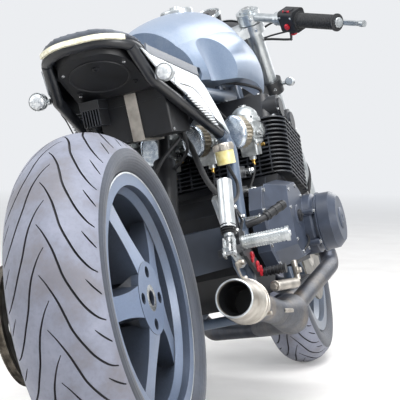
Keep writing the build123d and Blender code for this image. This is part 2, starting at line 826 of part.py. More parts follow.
# Carburettors: four on one plate, each with a domed vacuum chamber, a float bowl and its rubber boot
boot_length = 22
carb_length = 84
carb_start = port_length + boot_length
dome_radius = 29
dome_height = 56
bowl_depth = 54
with BuildPart() as carburettors:
    for row in cylinder_rows:
        port = intake_frame(row)
        with BuildSketch(port.offset(port_length)):
            Circle(intake_radius)
        extrude(amount=boot_length)
        with BuildSketch(port.offset(carb_start)):
            Circle(intake_radius - 2)
            Rectangle(44, 34)
        extrude(amount=carb_length)
        middle = port.from_local_coords(Vector(0, 0, carb_start + carb_length / 2))
        with BuildSketch(Plane(origin=middle, x_dir=(1, 0, 0), z_dir=(0, -1, 0))):
            with BuildLine():
                Polyline((0, -4), (0, dome_height))
                ThreePointArc((0, dome_height), (dome_radius * 0.62, dome_height - 6), (dome_radius, dome_height - 20))
                Polyline(
                    (dome_radius, dome_height - 20),
                    (dome_radius, 26),
                    (dome_radius + 4, 26),
                    (dome_radius + 4, 18),
                    (dome_radius - 2, 18),
                    (dome_radius - 4, -4),
                    (0, -4),
                )
            make_face()
        revolve(axis=Axis(middle, (0, 0, 1)))
        with BuildSketch(Plane(origin=middle, x_dir=(1, 0, 0), z_dir=(0, 0, -1))):
            RectangleRounded(50, 44, 8)
        extrude(amount=bowl_depth, taper=4)
        with BuildSketch(Plane(origin=middle - Vector(0, 0, 22), x_dir=(1, 0, 0), z_dir=(0, 0, -1))):
            RectangleRounded(58, 52, 8)
        extrude(amount=5)
        with BuildSketch(Plane(origin=middle - Vector(0, 0, bowl_depth), x_dir=(1, 0, 0), z_dir=(0, 0, -1))):
            Circle(8)
        extrude(amount=8)
    bank = intake_frame(0).offset(carb_start + 20)
    with BuildSketch(bank):
        Rectangle(3 * cylinder_pitch, 26)
    extrude(amount=10)
carburettors.part.label = "carburettors"
chassis.append(carburettors)

# Pod filters: oval, pleated round the outside, each closed by a smooth cap
pleats = 26
pleat_depth = 0.07
pod_half_width = 23.5
pod_half_height = 35.5
neck_length = 8
pleat_length = 56
cap_length = 14


def pleated_oval(half_width, half_height):
    """Closed outline of an oval whose edge goes in and out once for each pleat."""
    corners = []
    for step in range(2 * pleats):
        turn = pi * step / pleats
        reach = 1 if step % 2 else 1 - pleat_depth
        corners.append((half_width * reach * cos(turn), half_height * reach * sin(turn)))
    return corners


with BuildPart() as air_filters:
    for row in cylinder_rows:
        neck = intake_frame(row).offset(carb_start + carb_length)
        with BuildSketch(neck):
            Circle(pod_half_width)
        extrude(amount=neck_length)
        with BuildSketch(neck.offset(neck_length)):
            with BuildLine():
                Polyline(*pleated_oval(pod_half_width, pod_half_height), close=True)
            make_face()
        extrude(amount=pleat_length)
        with BuildSketch(neck.offset(neck_length + pleat_length)):
            Ellipse(pod_half_width + 1, pod_half_height + 1)
        extrude(amount=cap_length)
        fillet(air_filters.faces(Select.LAST).sort_by(Axis.X)[0].edges(), 7)
air_filters.part.label = "air_filters"
chassis.append(air_filters)

# Exhaust: four pipes into one collector, low on the right
merge_point = Vector(650, -168, 192)
merge_neck = Vector(520, -170, 211)
pipe_end = Vector(345, -169.5, 248)
tail_radius = 27
muffler_dir = Vector(-1, 0.02, 0.2).normalized()
header_routes = (
    # cylinder row, points that the pipe bends at
    (-1.5, [(1056, -170, 400), (1046, -200, 262), (640, -178, 202)]),
    (-0.5, [(1048, -46, 440), (1046, -46, 232), (1042, -150, 228), (640, -154, 218)]),
    (0.5, [(1048, 44, 440), (1010, 44, 160), (880, -36, 158), (650, -160, 172)]),
    (1.5, [(1062, 150, 420), (1046, 150, 200), (990, 100, 158), (860, -60, 156), (650, -182, 172)]),
)
header_runs = []
for row, route in header_routes:
    port = exhaust_frame(row * cylinder_pitch)
    begin = port.from_local_coords(Vector(0, 0, port_length))
    lead = port.from_local_coords(Vector(0, 0, port_length + 46))
    points = [tuple(begin), tuple(lead)] + route
    header_runs.append(tube_run(points, pipe_radius, 38))
merge_dir = (merge_neck - merge_point).normalized()
with BuildPart() as exhaust_headers:
    add(header_runs)
    with BuildSketch(Plane(origin=merge_point, x_dir=(0, 1, 0), z_dir=merge_dir)):
        Ellipse(40, 44)
    with BuildSketch(Plane(origin=merge_neck, x_dir=(0, 1, 0), z_dir=merge_dir)):
        Circle(tail_radius)
    loft()
    add(tube_run([tuple(merge_neck), tuple(pipe_end)], tail_radius, 0))
exhaust_headers.part.label = "exhaust_headers"
chassis.append(exhaust_headers)

# Muffler: a short round can with a deep open tail pipe
can_length = 126
can_radius = 44
outlet_radius = 37
bore_radius = 27
with BuildPart() as muffler:
    muffler_plane = Plane(origin=pipe_end, x_dir=muffler_dir, z_dir=muffler_dir.cross(Vector(0, 0, 1)))
    with BuildSketch(muffler_plane):
        with BuildLine():
            Polyline(
                (0.8, 0),
                (0.8, tail_radius + 2),
                (30, can_radius - 2),
                (52, can_radius),
                (can_length - 4, outlet_radius + 1),
                (can_length, outlet_radius),
                (can_length, outlet_radius - 3),
                (can_length - 8, outlet_radius - 4),
                (can_length - 26, bore_radius),
                (30, bore_radius),
                (30, 0),
                close=True,
            )
        make_face()
    revolve(axis=Axis(pipe_end, muffler_dir))
muffler.part.label = "muffler"
chassis.append(muffler)

# Tank: lofted body with a tunnel over the frame, scooped on both sides for the knees
cap_x = 890
cap_radius = 38
cap_seat = 893
tank_sections = (
    # x, half width, lower side z, top z
    (500, 76, 716, 826),
    (610, 112, 716, 858),
    (760, 134, 718, 886),
    (900, 140, 716, 900),
    (1020, 134, 704, 888),
    (1140, 110, 686, 818),
)
tank_rear = ((525, 838), (569, 719))
tunnel_half = 104.5
knee_radius = 110
knee_inset = 97
knee_x = 648
knee_z = 785
crease_way = Vector(101, 0, -122).normalized()
with BuildPart() as tank:
    for station, half, low, top in tank_sections:
        rise = top - low
        with BuildSketch(Plane(origin=(station, 0, 0), x_dir=(0, 1, 0), z_dir=(1, 0, 0))):
            with BuildLine():
                shoulder = low + rise * 0.62
                waist = low + rise * 0.3
                Line((-half * 0.93, low), (half * 0.93, low))
                ThreePointArc((half * 0.93, low), (half, waist), (half * 0.8, shoulder))
                ThreePointArc((half * 0.8, shoulder), (0, top), (-half * 0.8, shoulder))
                ThreePointArc((-half * 0.8, shoulder), (-half, waist), (-half * 0.93, low))
            make_face()
    loft()
    for side in (-1, 1):
        knee_axis = Vector(knee_x, side * (knee_inset + knee_radius), knee_z)
        with BuildSketch(Plane(origin=knee_axis - crease_way * 200, z_dir=crease_way)):
            Circle(knee_radius)
        extrude(amount=400, mode=Mode.SUBTRACT)
    with BuildSketch(Plane(origin=(0, 200, 0), x_dir=(1, 0, 0), z_dir=(0, -1, 0))):
        with BuildLine():
            Polyline((480, 838), tank_rear[0], tank_rear[1], (569, 600), (480, 600), close=True)
        make_face()
        with BuildLine():
            Polyline((480, 830), (480, 900), (525, 900), (525, 830), close=True)
        make_face()
    extrude(amount=400, mode=Mode.SUBTRACT)
    with BuildSketch(Plane(origin=(0, tunnel_half, 0), x_dir=(1, 0, 0), z_dir=(0, -1, 0))):
        with BuildLine():
            Polyline((540, 600), (540, 742), (590, 742), (590, 600), close=True)
        make_face()
    extrude(amount=2 * tunnel_half, mode=Mode.SUBTRACT)
    with BuildSketch(Plane(origin=(0, 88, 0), x_dir=(1, 0, 0), z_dir=(0, -1, 0))):
        with BuildLine():
            Polyline((900, 660), (900, 708), (975, 716), (1150, 806), (1160, 660), close=True)
        make_face()
    extrude(amount=176, mode=Mode.SUBTRACT)
    with BuildSketch(Plane.XY.offset(cap_seat)):
        with Locations((cap_x, 0)):
            Circle(cap_radius + seat_gap)
    extrude(amount=40, mode=Mode.SUBTRACT)
    for rest_x, rest_z in tank_rests:
        with BuildSketch(Plane.XY.offset(rest_z)):
            with Locations((rest_x, -rest_half), (rest_x, rest_half)):
                Circle(rest_radius + seat_gap)
        extrude(amount=rest_top + seat_gap - rest_z, mode=Mode.SUBTRACT)
tank.part.label = "tank"
chassis.append(tank)

# Seat: a thin crowned pad on the hoop, with a rolled edge down its sides, up against the tank
seat_edge = 7
seat_crown = 19
seat_half = rail_half + 15
seat_rear = hoop_rear_x - 15
seat_corner = 87
roll_drop = 4
roll_wall = 3.4
hoop_sides = ((seat_rear - 20, hoop_height(seat_rear - 20)), (hoop_knee_x, hoop_knee_z), (hoop_front_x, hoop_front_z))


def seat_block(drop, rise_side, rise_middle, half):
    """The space between two surfaces over the hoop, the upper one crowned, as wide as twice the half width."""
    with BuildPart() as block:
        for x, z in hoop_sides:
            with BuildSketch(Plane(origin=(x, 0, z), x_dir=(0, 1, 0), z_dir=(1, 0, 0))):
                with BuildLine():
                    Polyline((half, rise_side), (half, drop), (-half, drop), (-half, rise_side))
                    if rise_middle > rise_side:
                        ThreePointArc((-half, rise_side), (0, rise_middle), (half, rise_side))
                    else:
                        Line((-half, rise_side), (half, rise_side))
                make_face()
        loft(ruled=True)
    return block.part


pad_base = rail_radius + 0.9
pad_middle = (seat_rear + hoop_front_x) / 2
pad_length = hoop_front_x - seat_rear
with BuildPart() as seat_pocket:
    add(seat_block(-roll_drop - 5, pad_base, pad_base, seat_half + 10))
    with BuildSketch(Plane.XY.offset(600)) as pocket_plan:
        with Locations((pad_middle + roll_wall, 0)):
            Rectangle(pad_length, 2 * (seat_half - roll_wall))
        fillet(pocket_plan.vertices().group_by(Axis.X)[0], seat_corner - roll_wall)
        with Locations((seat_rear + 20, 0)):
            Rectangle(124, 2 * seat_half + 4)
    extrude(amount=400, mode=Mode.INTERSECT)

with BuildPart() as seat:
    add(seat_block(-roll_drop, pad_base + seat_edge, pad_base + seat_crown, seat_half + 10))
    with BuildSketch(Plane.XY.offset(600)) as seat_plan:
        with Locations((pad_middle, 0)):
            Rectangle(pad_length, 2 * seat_half)
        fillet(seat_plan.vertices().group_by(Axis.X)[0], seat_corner)
    extrude(amount=400, mode=Mode.INTERSECT)
    add(seat_pocket.part, mode=Mode.SUBTRACT)
    with BuildSketch(Plane(origin=(0, 200, 0), x_dir=(1, 0, 0), z_dir=(0, -1, 0))):
        with BuildLine():
            Polyline(
                (tank_rear[0][0] - 2, tank_rear[0][1]),
                (tank_rear[1][0] - 2, tank_rear[1][1]),
                (tank_rear[1][0] + 60, tank_rear[1][1] - 40),
                (tank_rear[1][0] + 60, tank_rear[0][1]),
                close=True,
            )
        make_face()
    extrude(amount=400, mode=Mode.SUBTRACT)
seat.part.label = "seat"
chassis.append(seat)

# Tank cap
with BuildPart() as tank_cap:
    with BuildSketch(Plane(origin=(cap_x, 0, cap_seat), x_dir=(1, 0, 0), z_dir=(0, 0, 1))):
        Circle(cap_radius)
    extrude(amount=14)
    fillet(tank_cap.faces().sort_by(Axis.Z)[-1].edges(), 5)
    with BuildSketch(Plane(origin=(cap_x - 6, 0, cap_seat + 14), x_dir=(1, 0, 0), z_dir=(0, 0, 1))):
        SlotCenterToCenter(26, 18)
    extrude(amount=5)
tank_cap.part.label = "tank_cap"
chassis.append(tank_cap)

# Tail tray: closed black pan between the rails, its rear face sloping forward under the tail
tray_half = 76
tray_floor = 701
tray_outline = (
    (hoop_rear_x + rail_radius + 1, hoop_height(hoop_rear_x + rail_radius + 1) + rail_radius),
    (hoop_knee_x, hoop_knee_z + rail_radius + 0.5),
    (540, hoop_height(540) + rail_radius + 0.5),
    (556, tray_floor + 8),
    (484, tray_floor),
    (288, tray_floor),
    (hoop_rear_x + rail_radius + 4, hoop_rear_z - 20),
)
tray_rear = tray_outline[0][0]
tray_corner = 64
with BuildPart() as tail_tray:
    with BuildSketch(Plane(origin=(0, tray_half, 0), x_dir=(1, 0, 0), z_dir=(0, -1, 0))):
        with BuildLine():
            Polyline(*tray_outline, close=True)
        make_face()
    extrude(amount=2 * tray_half)
    with BuildSketch(Plane.XY.offset(600)) as tray_plan:
        with Locations((tray_rear + 250, 0)):
            Rectangle(500, 2 * tray_half)
        fillet(tray_plan.vertices().group_by(Axis.X)[0], tray_corner)
    extrude(amount=400, mode=Mode.INTERSECT)
tail_tray.part.label = "tail_tray"
chassis.append(tail_tray)

# Battery box, its strap and the finned regulator, hung under the tray
battery_top = tray_floor - 0.3
battery_centre = (390, -20)
battery_size = (130, 144, 90)
strap_half = 12
with BuildPart() as battery_box:
    with Locations((*battery_centre, battery_top - battery_size[2] / 2)):
        Box(*battery_size)
    fillet(battery_box.edges().filter_by(Axis.Z), 6)
    with BuildSketch(Plane(origin=(*battery_centre, battery_top - 20))):
        RectangleRounded(battery_size[0] + 3, battery_size[1] + 3, 7)
    extrude(amount=4)
battery_box.part.label = "battery_box"
chassis.append(battery_box)

strap_outer = (battery_size[0] + 8, battery_size[2] + 4)
strap_inner = (battery_size[0] + 4, battery_size[2] + 0.6)
with BuildPart() as battery_strap:
    with BuildSketch(Plane(origin=(battery_centre[0], battery_centre[1] + strap_half, 0), x_dir=(1, 0, 0), z_dir=(0, -1, 0))):
        with Locations((0, battery_top - strap_outer[1] / 2)):
            Rectangle(*strap_outer)
        with Locations((0, battery_top - strap_inner[1] / 2)):
            Rectangle(*strap_inner, mode=Mode.SUBTRACT)
    extrude(amount=2 * strap_half)
battery_strap.part.label = "battery_strap"
chassis.append(battery_strap)

regulator_fins = 7
regulator_pitch = 5.6
regulator_centre = (292, 48)
with BuildPart() as regulator:
    with Locations((*regulator_centre, tray_floor - 0.3 - 9)):
        Box(58, 40, 18)
    for fin in range(regulator_fins):
        fin_y = regulator_centre[1] + (fin - (regulator_fins - 1) / 2) * regulator_pitch
        with Locations((regulator_centre[0], fin_y, tray_floor - 30)):
            Box(58, 2.4, 40)
regulator.part.label = "regulator"
chassis.append(regulator)

# Tail light: a thin strip round the hoop's rear bend
strip_inner = hoop_bend + rail_radius + 0.3
strip_outer = strip_inner + 6
strip_turn = 50
strip_height = 10
with BuildPart() as tail_light:
    with BuildSketch(tail_plane) as strip:
        for radius, mode in ((strip_outer, Mode.ADD), (strip_inner, Mode.SUBTRACT)):
            with Locations((hoop_bend, hoop_bend - rail_half), (hoop_bend, rail_half - hoop_bend)):
                Circle(radius, mode=mode)
            with Locations((hoop_bend, 0)):
                Rectangle(2 * radius, 2 * (rail_half - hoop_bend), mode=mode)
        with Locations((hoop_bend - strip_outer * cos(radians(strip_turn)) + 100, 0)):
            Rectangle(200, 400, mode=Mode.SUBTRACT)
    extrude(amount=strip_height)
tail_light.part.label = "tail_light"
chassis.append(tail_light)

# Side panels: between seat and strut, flaring outward at the bottom
panel_top = Vector(200, 102.1, 766)
panel_flare = 16.6
panel_turn = -2.1
panel_thick = 3
panel_outline = (
    (188, hoop_height(188) - 5),
    (hoop_knee_x, hoop_knee_z - 5),
    (552, hoop_height(552) - 5),
    (574, 700),
    (582, 640),
    (572, 592),
    (548, 612),
    (234, 727),
)
panel_halves = []
for side in (-1, 1):
    slab = Location((panel_top.X, side * panel_top.Y, panel_top.Z), (side * panel_flare, 0, side * panel_turn))
    with BuildPart() as panel_half:
        with BuildSketch(Plane(origin=(0, side * 60, 0), x_dir=(1, 0, 0), z_dir=(0, -1, 0))):
            with BuildLine():
                Polyline(*panel_outline, close=True)
            make_face()
        extrude(amount=-side * 120)
        with Locations(slab):
            Box(1200, panel_thick, 600, mode=Mode.INTERSECT)
    panel_halves.append(panel_half.part)
with BuildPart() as side_panels:
    add(panel_halves)
side_panels.part.label = "side_panels"
chassis.append(side_panels)

# Rear turn signals on the struts
rear_signal_radius = 17
with BuildPart() as rear_indicators:
    for side in (-1, 1):
        with BuildSketch(Plane(origin=(222, side * 108.4, 714), x_dir=(1, 0, 0), z_dir=(0, side, 0))):
            Circle(6)
        extrude(amount=17)
        with BuildSketch(Plane(origin=(232, side * 130, 718), x_dir=(0, 1, 0), z_dir=(-1, 0, 0))):
            Circle(10)
        extrude(amount=12)
        with BuildSketch(Plane(origin=(224, side * 130, 718), x_dir=(0, 1, 0), z_dir=(-1, 0, 0))):
            Circle(rear_signal_radius)
        extrude(amount=18)
        fillet(rear_indicators.faces(Select.LAST).sort_by(Axis.X)[0].edges(), 4)
rear_indicators.part.label = "rear_indicators"
chassis.append(rear_indicators)

# Shock absorber between swingarm and frame
with BuildPart() as shock_absorber:
    shock_base = Vector(451, 0, 418.6)
    shock_tube = Vector(610, 0, 690)
    shock_dir = (shock_tube - shock_base).normalized()
    shock_length = (shock_tube - shock_base).length - 11.4
    with BuildSketch(Plane(origin=shock_base, x_dir=(0, 1, 0), z_dir=shock_dir)):
        Circle(24)
    extrude(amount=shock_length - 140)
    with BuildSketch(Plane(origin=shock_base + shock_dir * (shock_length - 140), x_dir=(0, 1, 0), z_dir=shock_dir)):
        Circle(13)
    extrude(amount=140)
shock_absorber.part.label = "shock_absorber"
chassis.append(shock_absorber)

# Chain: a loop of side plates with rollers between them
chain_gap = 1
link_thick = 3
chain_side = sprocket_thick / 2 + chain_gap + link_thick
chain_drop = output_z - rear_radius


def chain_loop(grow, side, thick):
    """A flat loop round both sprockets, from inside to outside the pitch line, between two y values."""
    base = Plane(origin=(0, side, rear_radius), x_dir=(1, 0, 0), z_dir=(0, -1, 0))
    with BuildPart() as loop:
        for reach, way in ((grow, Mode.ADD), (-grow, Mode.SUBTRACT)):
            with BuildSketch(base):
                Circle(rear_pitch_radius + reach)
                with Locations((output_x, chain_drop)):
                    Circle(front_pitch_radius + reach)
                make_hull()
            extrude(amount=thick, mode=way)
    return loop.part


chain_loops = [
    chain_loop(6.5, sprocket_y + chain_side, link_thick),
    chain_loop(roller, sprocket_y + chain_side - 1, 2 * chain_side - 2),
    chain_loop(6.5, sprocket_y - chain_side + link_thick, link_thick),
]
with BuildPart() as chain:
    add(chain_loops)
chain.part.label = "chain"
chassis.append(chain)

# Rear caliper: bolted to the arm, open over the disc
caliper_gap = 2
with BuildPart() as rear_caliper:
    with Locations((118, disc_y + disc_thick / 2, rear_radius + 22)):
        Box(56, 40, 74)
    with Locations((118, (disc_y + disc_thick / 2 + arm_inner) / 2, rear_radius + 12)):
        Box(30, arm_inner - disc_y - disc_thick / 2, 40)
    with BuildSketch(Plane(origin=rear_axle + Vector(0, disc_y - caliper_gap, 0), x_dir=(1, 0, 0), z_dir=(0, 1, 0))):
        Circle(disc_radius + caliper_gap)
    extrude(amount=disc_thick + 2 * caliper_gap, mode=Mode.SUBTRACT)
rear_caliper.part.label = "rear_caliper"
chassis.append(rear_caliper)

# Footrests: hanger plates off the pivot plates, with the pegs
hanger_sides = ((-1, 140), (1, 192))
hanger_thick = 8
peg_root = Vector(425, 0, 367)
peg_sweep = 0.12
peg_radius = 13
peg_length = 102
with BuildPart() as footrests:
    for side, inner in hanger_sides:
        for bolt_z in (340, 374):
            with BuildSketch(
                Plane(origin=(466, side * (plate_inner + plate_thick), bolt_z), x_dir=(1, 0, 0), z_dir=(0, side, 0))
            ):
                Circle(9)
            extrude(amount=inner - plate_inner - plate_thick)
        with BuildSketch(Plane(origin=(0, side * inner, 0), x_dir=(1, 0, 0), z_dir=(0, -1, 0))):
            with BuildLine():
                Polyline((486, 330), (486, 388), (400, 392), (330, 470), (312, 462), (372, 350), (420, 318), close=True)
            make_face()
        extrude(amount=-side * hanger_thick)
        peg_start = Vector(peg_root.X, side * (inner + hanger_thick / 2), peg_root.Z)
        peg_plane = Plane(origin=peg_start, x_dir=(1, 0, 0), z_dir=(peg_sweep, side, 0))
        with BuildSketch(peg_plane):
            Circle(peg_radius)
        extrude(amount=peg_length)
        with BuildSketch(peg_plane.offset(peg_length - 2)):
            Circle(peg_radius + 2.5)
        extrude(amount=7)
footrests.part.label = "footrests"
chassis.append(footrests)

# Brake pedal on the right, gear lever on the left
pedal_y = 140 + hanger_thick + seat_gap
lever_y = 192 + hanger_thick + seat_gap
pedal_toe = (528, 296)
toe_radius = 8
with BuildPart() as brake_pedal:
    with BuildSketch(Plane(origin=(0, -pedal_y, 0), x_dir=(1, 0, 0), z_dir=(0, -1, 0))):
        with BuildLine():
            Polyline((244, 352), (398, 350), (398, 366), (246, 366), close=True)
        make_face()
        with BuildLine():
            Polyline((418, 346), (516, 288), (532, 304), (438, 382), close=True)
        make_face()
        with Locations((peg_root.X, peg_root.Z)):
            Circle(27)
            Circle(16.5, mode=Mode.SUBTRACT)
    extrude(amount=8)
    with BuildSketch(Plane(origin=(pedal_toe[0], -pedal_y, pedal_toe[1]), x_dir=(1, 0, 0), z_dir=(0, -1, 0))):
        Circle(toe_radius)
    extrude(amount=60)
    for ring in range(6):
        ring_y = -pedal_y - 16 - ring * 8
        with BuildSketch(Plane(origin=(pedal_toe[0], ring_y, pedal_toe[1]), x_dir=(1, 0, 0), z_dir=(0, -1, 0))):
            Circle(toe_radius + 2)
        extrude(amount=4)
brake_pedal.part.label = "brake_pedal"
chassis.append(brake_pedal)

with BuildPart() as shift_lever:
    with BuildSketch(Plane(origin=(0, lever_y, 0), x_dir=(1, 0, 0), z_dir=(0, 1, 0))):
        with BuildLine():
            Polyline((392, -326), (520, -272), (532, -286), (400, -340), close=True)
        make_face()
    extrude(amount=8)
    with BuildSketch(Plane(origin=(526, lever_y, 280), x_dir=(1, 0, 0), z_dir=(0, 1, 0))):
        Circle(toe_radius)
    extrude(amount=60)
shift_lever.part.label = "shift_lever"
chassis.append(shift_lever)

# Rear master cylinder on the hanger: clevis, rod, boot and body, and its reservoir
cylinder_y = -pedal_y - 8 - seat_gap - 14
cylinder_low = Vector(254, cylinder_y, 360)
cylinder_high = Vector(322, cylinder_y, 494)
cylinder_steps = (
    # share of the length where it starts, radius
    (0, 5),
    (0.2, 10),
    (0.32, 15),
    (0.82, 12),
)
cylinder_way = cylinder_high - cylinder_low
with BuildPart() as rear_master_cylinder:
    for step, radius in cylinder_steps:
        with BuildSketch(Plane(origin=cylinder_low + cylinder_way * step, z_dir=cylinder_way)):
            Circle(radius)
        extrude(amount=cylinder_way.length * (1 - step))
    with Locations((256, cylinder_y + 7, 362)):
        Box(14, 13, 14)
rear_master_cylinder.part.label = "rear_master_cylinder"
chassis.append(rear_master_cylinder)

reservoir_foot = Vector(470, -146, 528)
with BuildPart() as rear_reservoir:
    with BuildSketch(Plane(origin=reservoir_foot, x_dir=(1, 0, 0), z_dir=(0, 0, 1))):
        Circle(19)
    extrude(amount=28)
    with BuildSketch(Plane(origin=reservoir_foot + Vector(0, 0, 28), x_dir=(1, 0, 0), z_dir=(0, 0, 1))):
        Circle(20)
    extrude(amount=14)
    fillet(rear_reservoir.faces().sort_by(Axis.Z)[-1].edges(), 3)
rear_reservoir.part.label = "rear_reservoir"
chassis.append(rear_reservoir)

# Side stand
stand_length = (foot_point - stand_pivot).length
pad_thick = 8
with BuildPart() as side_stand:
    with BuildSketch(Plane(origin=stand_pivot, z_dir=stand_axis)):
        Circle(stand_eye)
    extrude(amount=stand_eye_thick)
    with BuildSketch(Plane(origin=stand_pivot + stand_axis * (stand_eye_thick / 2), z_dir=stand_leg)):
        Circle(6.5)
    extrude(amount=stand_length - 4)
    with BuildSketch(Plane(origin=foot_point, z_dir=ground_up)):
        Circle(26)
    extrude(amount=pad_thick)
    with BuildSketch(Plane(origin=stand_pivot - stand_axis * 1, z_dir=stand_axis)):
        Circle(stand_pin + shaft_gap)
    extrude(amount=stand_eye_thick + 2, mode=Mode.SUBTRACT)
side_stand.part.label = "side_stand"
stand_body.append(side_stand)

# Front calipers
with BuildPart() as front_calipers:
    for side in (-1, 1):
        with BuildSketch(head_frame.offset(axle_z + caliper_rise - 44)):
            with Locations((fork_offset - caliper_set - 25, side * 72)):
                Rectangle(50, 56)
        extrude(amount=88)
        with BuildSketch(
            Plane(origin=front_axle + Vector(0, side * (front_disc_y - caliper_gap), 0), x_dir=(1, 0, 0), z_dir=(0, side, 0))
        ):
            Circle(front_disc_radius + caliper_gap)
        extrude(amount=5 + 2 * caliper_gap, mode=Mode.SUBTRACT)
front_calipers.part.label = "front_calipers"
fork_body.append(front_calipers)

# Clip-on bars, grips, switches and levers, mirrored about the steering head
bar_radius = 11
bar_sweep = 41
bar_level = clip_z + clip_height / 2
bar_out = Vector(-sin(radians(bar_sweep)), -cos(radians(bar_sweep)), 0)


def bar_plane(reach, side=-1, ahead=0):
    """Plane across one handlebar, a distance out from the fork tube."""
    spot = Vector(fork_offset, -fork_half, 0) + bar_out * reach + Vector(-bar_out.Y, bar_out.X, 0) * ahead
    spot = Vector(spot.X, -side * spot.Y, bar_level)
    out = Vector(bar_out.X, -side * bar_out.Y, 0)
    origin = head_frame.from_local_coords(spot)
    far = head_frame.from_local_coords(spot + out)
    return Plane(origin=origin, x_dir=head_up, z_dir=far - origin)


bar_length = 306
with BuildPart() as handlebars:
    for side in (-1, 1):
        with BuildSketch(bar_plane(fork_tube + 4, side)):
            Circle(bar_radius)
        extrude(amount=bar_length - fork_tube - 4)
        with BuildSketch(head_frame.offset(clip_z)):
            with Locations((fork_offset, side * fork_half)):
                Circle(fork_tube + 9)
        extrude(amount=clip_height)
        with BuildSketch(head_frame.offset(clip_z)):
            with Locations((fork_offset, side * fork_half)):
                Circle(fork_tube + seat_gap)
        extrude(amount=clip_height, mode=Mode.SUBTRACT)
handlebars.part.label = "handlebars"
fork_body.append(handlebars)

grip_start = 176
grip_length = 124
with BuildPart() as grips:
    for side in (-1, 1):
        with BuildSketch(bar_plane(grip_start, side)):
            Circle(17)
            Circle(bar_radius + seat_gap, mode=Mode.SUBTRACT)
        extrude(amount=grip_length)
grips.part.label = "grips"
fork_body.append(grips)

with BuildPart() as switchgear:
    for side in (-1, 1):
        with BuildSketch(bar_plane(128, side)):
            RectangleRounded(54, 44, 10)
            Circle(bar_radius + seat_gap, mode=Mode.SUBTRACT)
        extrude(amount=grip_start - 128 - 1)
switchgear.part.label = "switchgear"
fork_body.append(switchgear)

perch_reach = 100
perch_width = 24
lever_ahead = 42
lever_drop = -22
lever_length = 222
with BuildPart() as levers:
    for side in (-1, 1):
        with BuildSketch(bar_plane(perch_reach, side)):
            Circle(17)
        extrude(amount=perch_width)
        with BuildSketch(bar_plane(perch_reach, side, lever_ahead - 16)):
            with Locations((lever_drop / 2, 0)):
                RectangleRounded(20 - lever_drop, 40, 8)
        extrude(amount=perch_width)
        with BuildSketch(bar_plane(perch_reach, side)):
            Circle(bar_radius + seat_gap)
        extrude(amount=perch_width, mode=Mode.SUBTRACT)
        with BuildSketch(bar_plane(perch_reach + 10, side, lever_ahead)):
            with Locations((lever_drop, 0)):
                RectangleRounded(16, 9, 3)
        extrude(amount=lever_length, taper=0.5)
        with BuildSketch(bar_plane(perch_reach + 10 + lever_length - 4, side, lever_ahead)):
            with Locations((lever_drop, 0)):
                Circle(8)
        extrude(amount=12)
levers.part.label = "levers"
fork_body.append(levers)

# Headlight on an arm from the lower yoke, its lens, and the small round gauge
light_ahead = 100
light_level = (lower_yoke_z + lower_yoke_thick + top_yoke_z) / 2 + 13
light_centre = head_frame.from_local_coords(Vector(light_ahead, 0, light_level))
light_radius = 84
shell_depth = 96
lens_set = 103
light_plane = Plane(origin=light_centre, x_dir=(1, 0, 0), z_dir=(0, -1, 0))
light_axis = Axis(light_centre, (1, 0, 0))
arm_foot = Vector(boss_reach + seat_gap, 0, lower_yoke_z + lower_yoke_thick / 2)
arm_start = head_frame.from_local_coords(arm_foot)
arm_bend = head_frame.from_local_coords(arm_foot + Vector(26, 0, 0))
arm_end = light_centre + Vector(66, 0, -light_radius + 12)
with BuildPart() as headlight:
    with BuildSketch(light_plane):
        with BuildLine():
            Line((0, 0), (0, 28))
            ThreePointArc((0, 28), (42, light_radius - 14), (shell_depth, light_radius))
            Polyline(
                (shell_depth, light_radius),
                (shell_depth, light_radius + 4),
                (lens_set + 1, light_radius + 4),
                (lens_set + 1, light_radius - 8),
                (60, 40),
                (60, 0),
                (0, 0),
            )
        make_face()
    revolve(axis=light_axis)
    with BuildSketch(Plane(origin=arm_start, z_dir=head_forward)):
        RectangleRounded(40, 26, 5)
    extrude(amount=8)
    add(tube_run([tuple(arm_start), tuple(arm_bend), tuple(arm_end)], 9, 18))
headlight.part.label = "headlight"
fork_body.append(headlight)

lens_rise = 15
lens_half = light_radius - 10
lens_curve = (lens_half**2 + lens_rise**2) / 2 / lens_rise
with BuildPart() as headlight_lens:
    with BuildSketch(light_plane):
        with BuildLine():
            Polyline((lens_set + lens_rise, 0), (lens_set - 5, 0), (lens_set - 5, lens_half - 4), (lens_set, lens_half))
            CenterArc((lens_set + lens_rise - lens_curve, 0), lens_curve, 0, degrees(asin(lens_half / lens_curve)))
        make_face()
    revolve(axis=light_axis)
headlight_lens.part.label = "headlight_lens"
fork_body.append(headlight_lens)

gauge_radius = 32
gauge_stub = 12
with BuildPart() as gauge:
    with BuildSketch(head_frame.offset(top_yoke_z + top_yoke_thick)):
        with Locations((36, 0)):
            RectangleRounded(26, 30, 6)
    extrude(amount=gauge_stub)
    with BuildSketch(head_frame.offset(top_yoke_z + top_yoke_thick + gauge_stub)):
        with Locations((54, 0)):
            Circle(gauge_radius - 4)
    extrude(amount=24, taper=-8)
    with BuildSketch(head_frame.offset(top_yoke_z + top_yoke_thick + gauge_stub + 24)):
        with Locations((54, 0)):
            Circle(gauge_radius)
    extrude(amount=10)
gauge.part.label = "gauge"
fork_body.append(gauge)

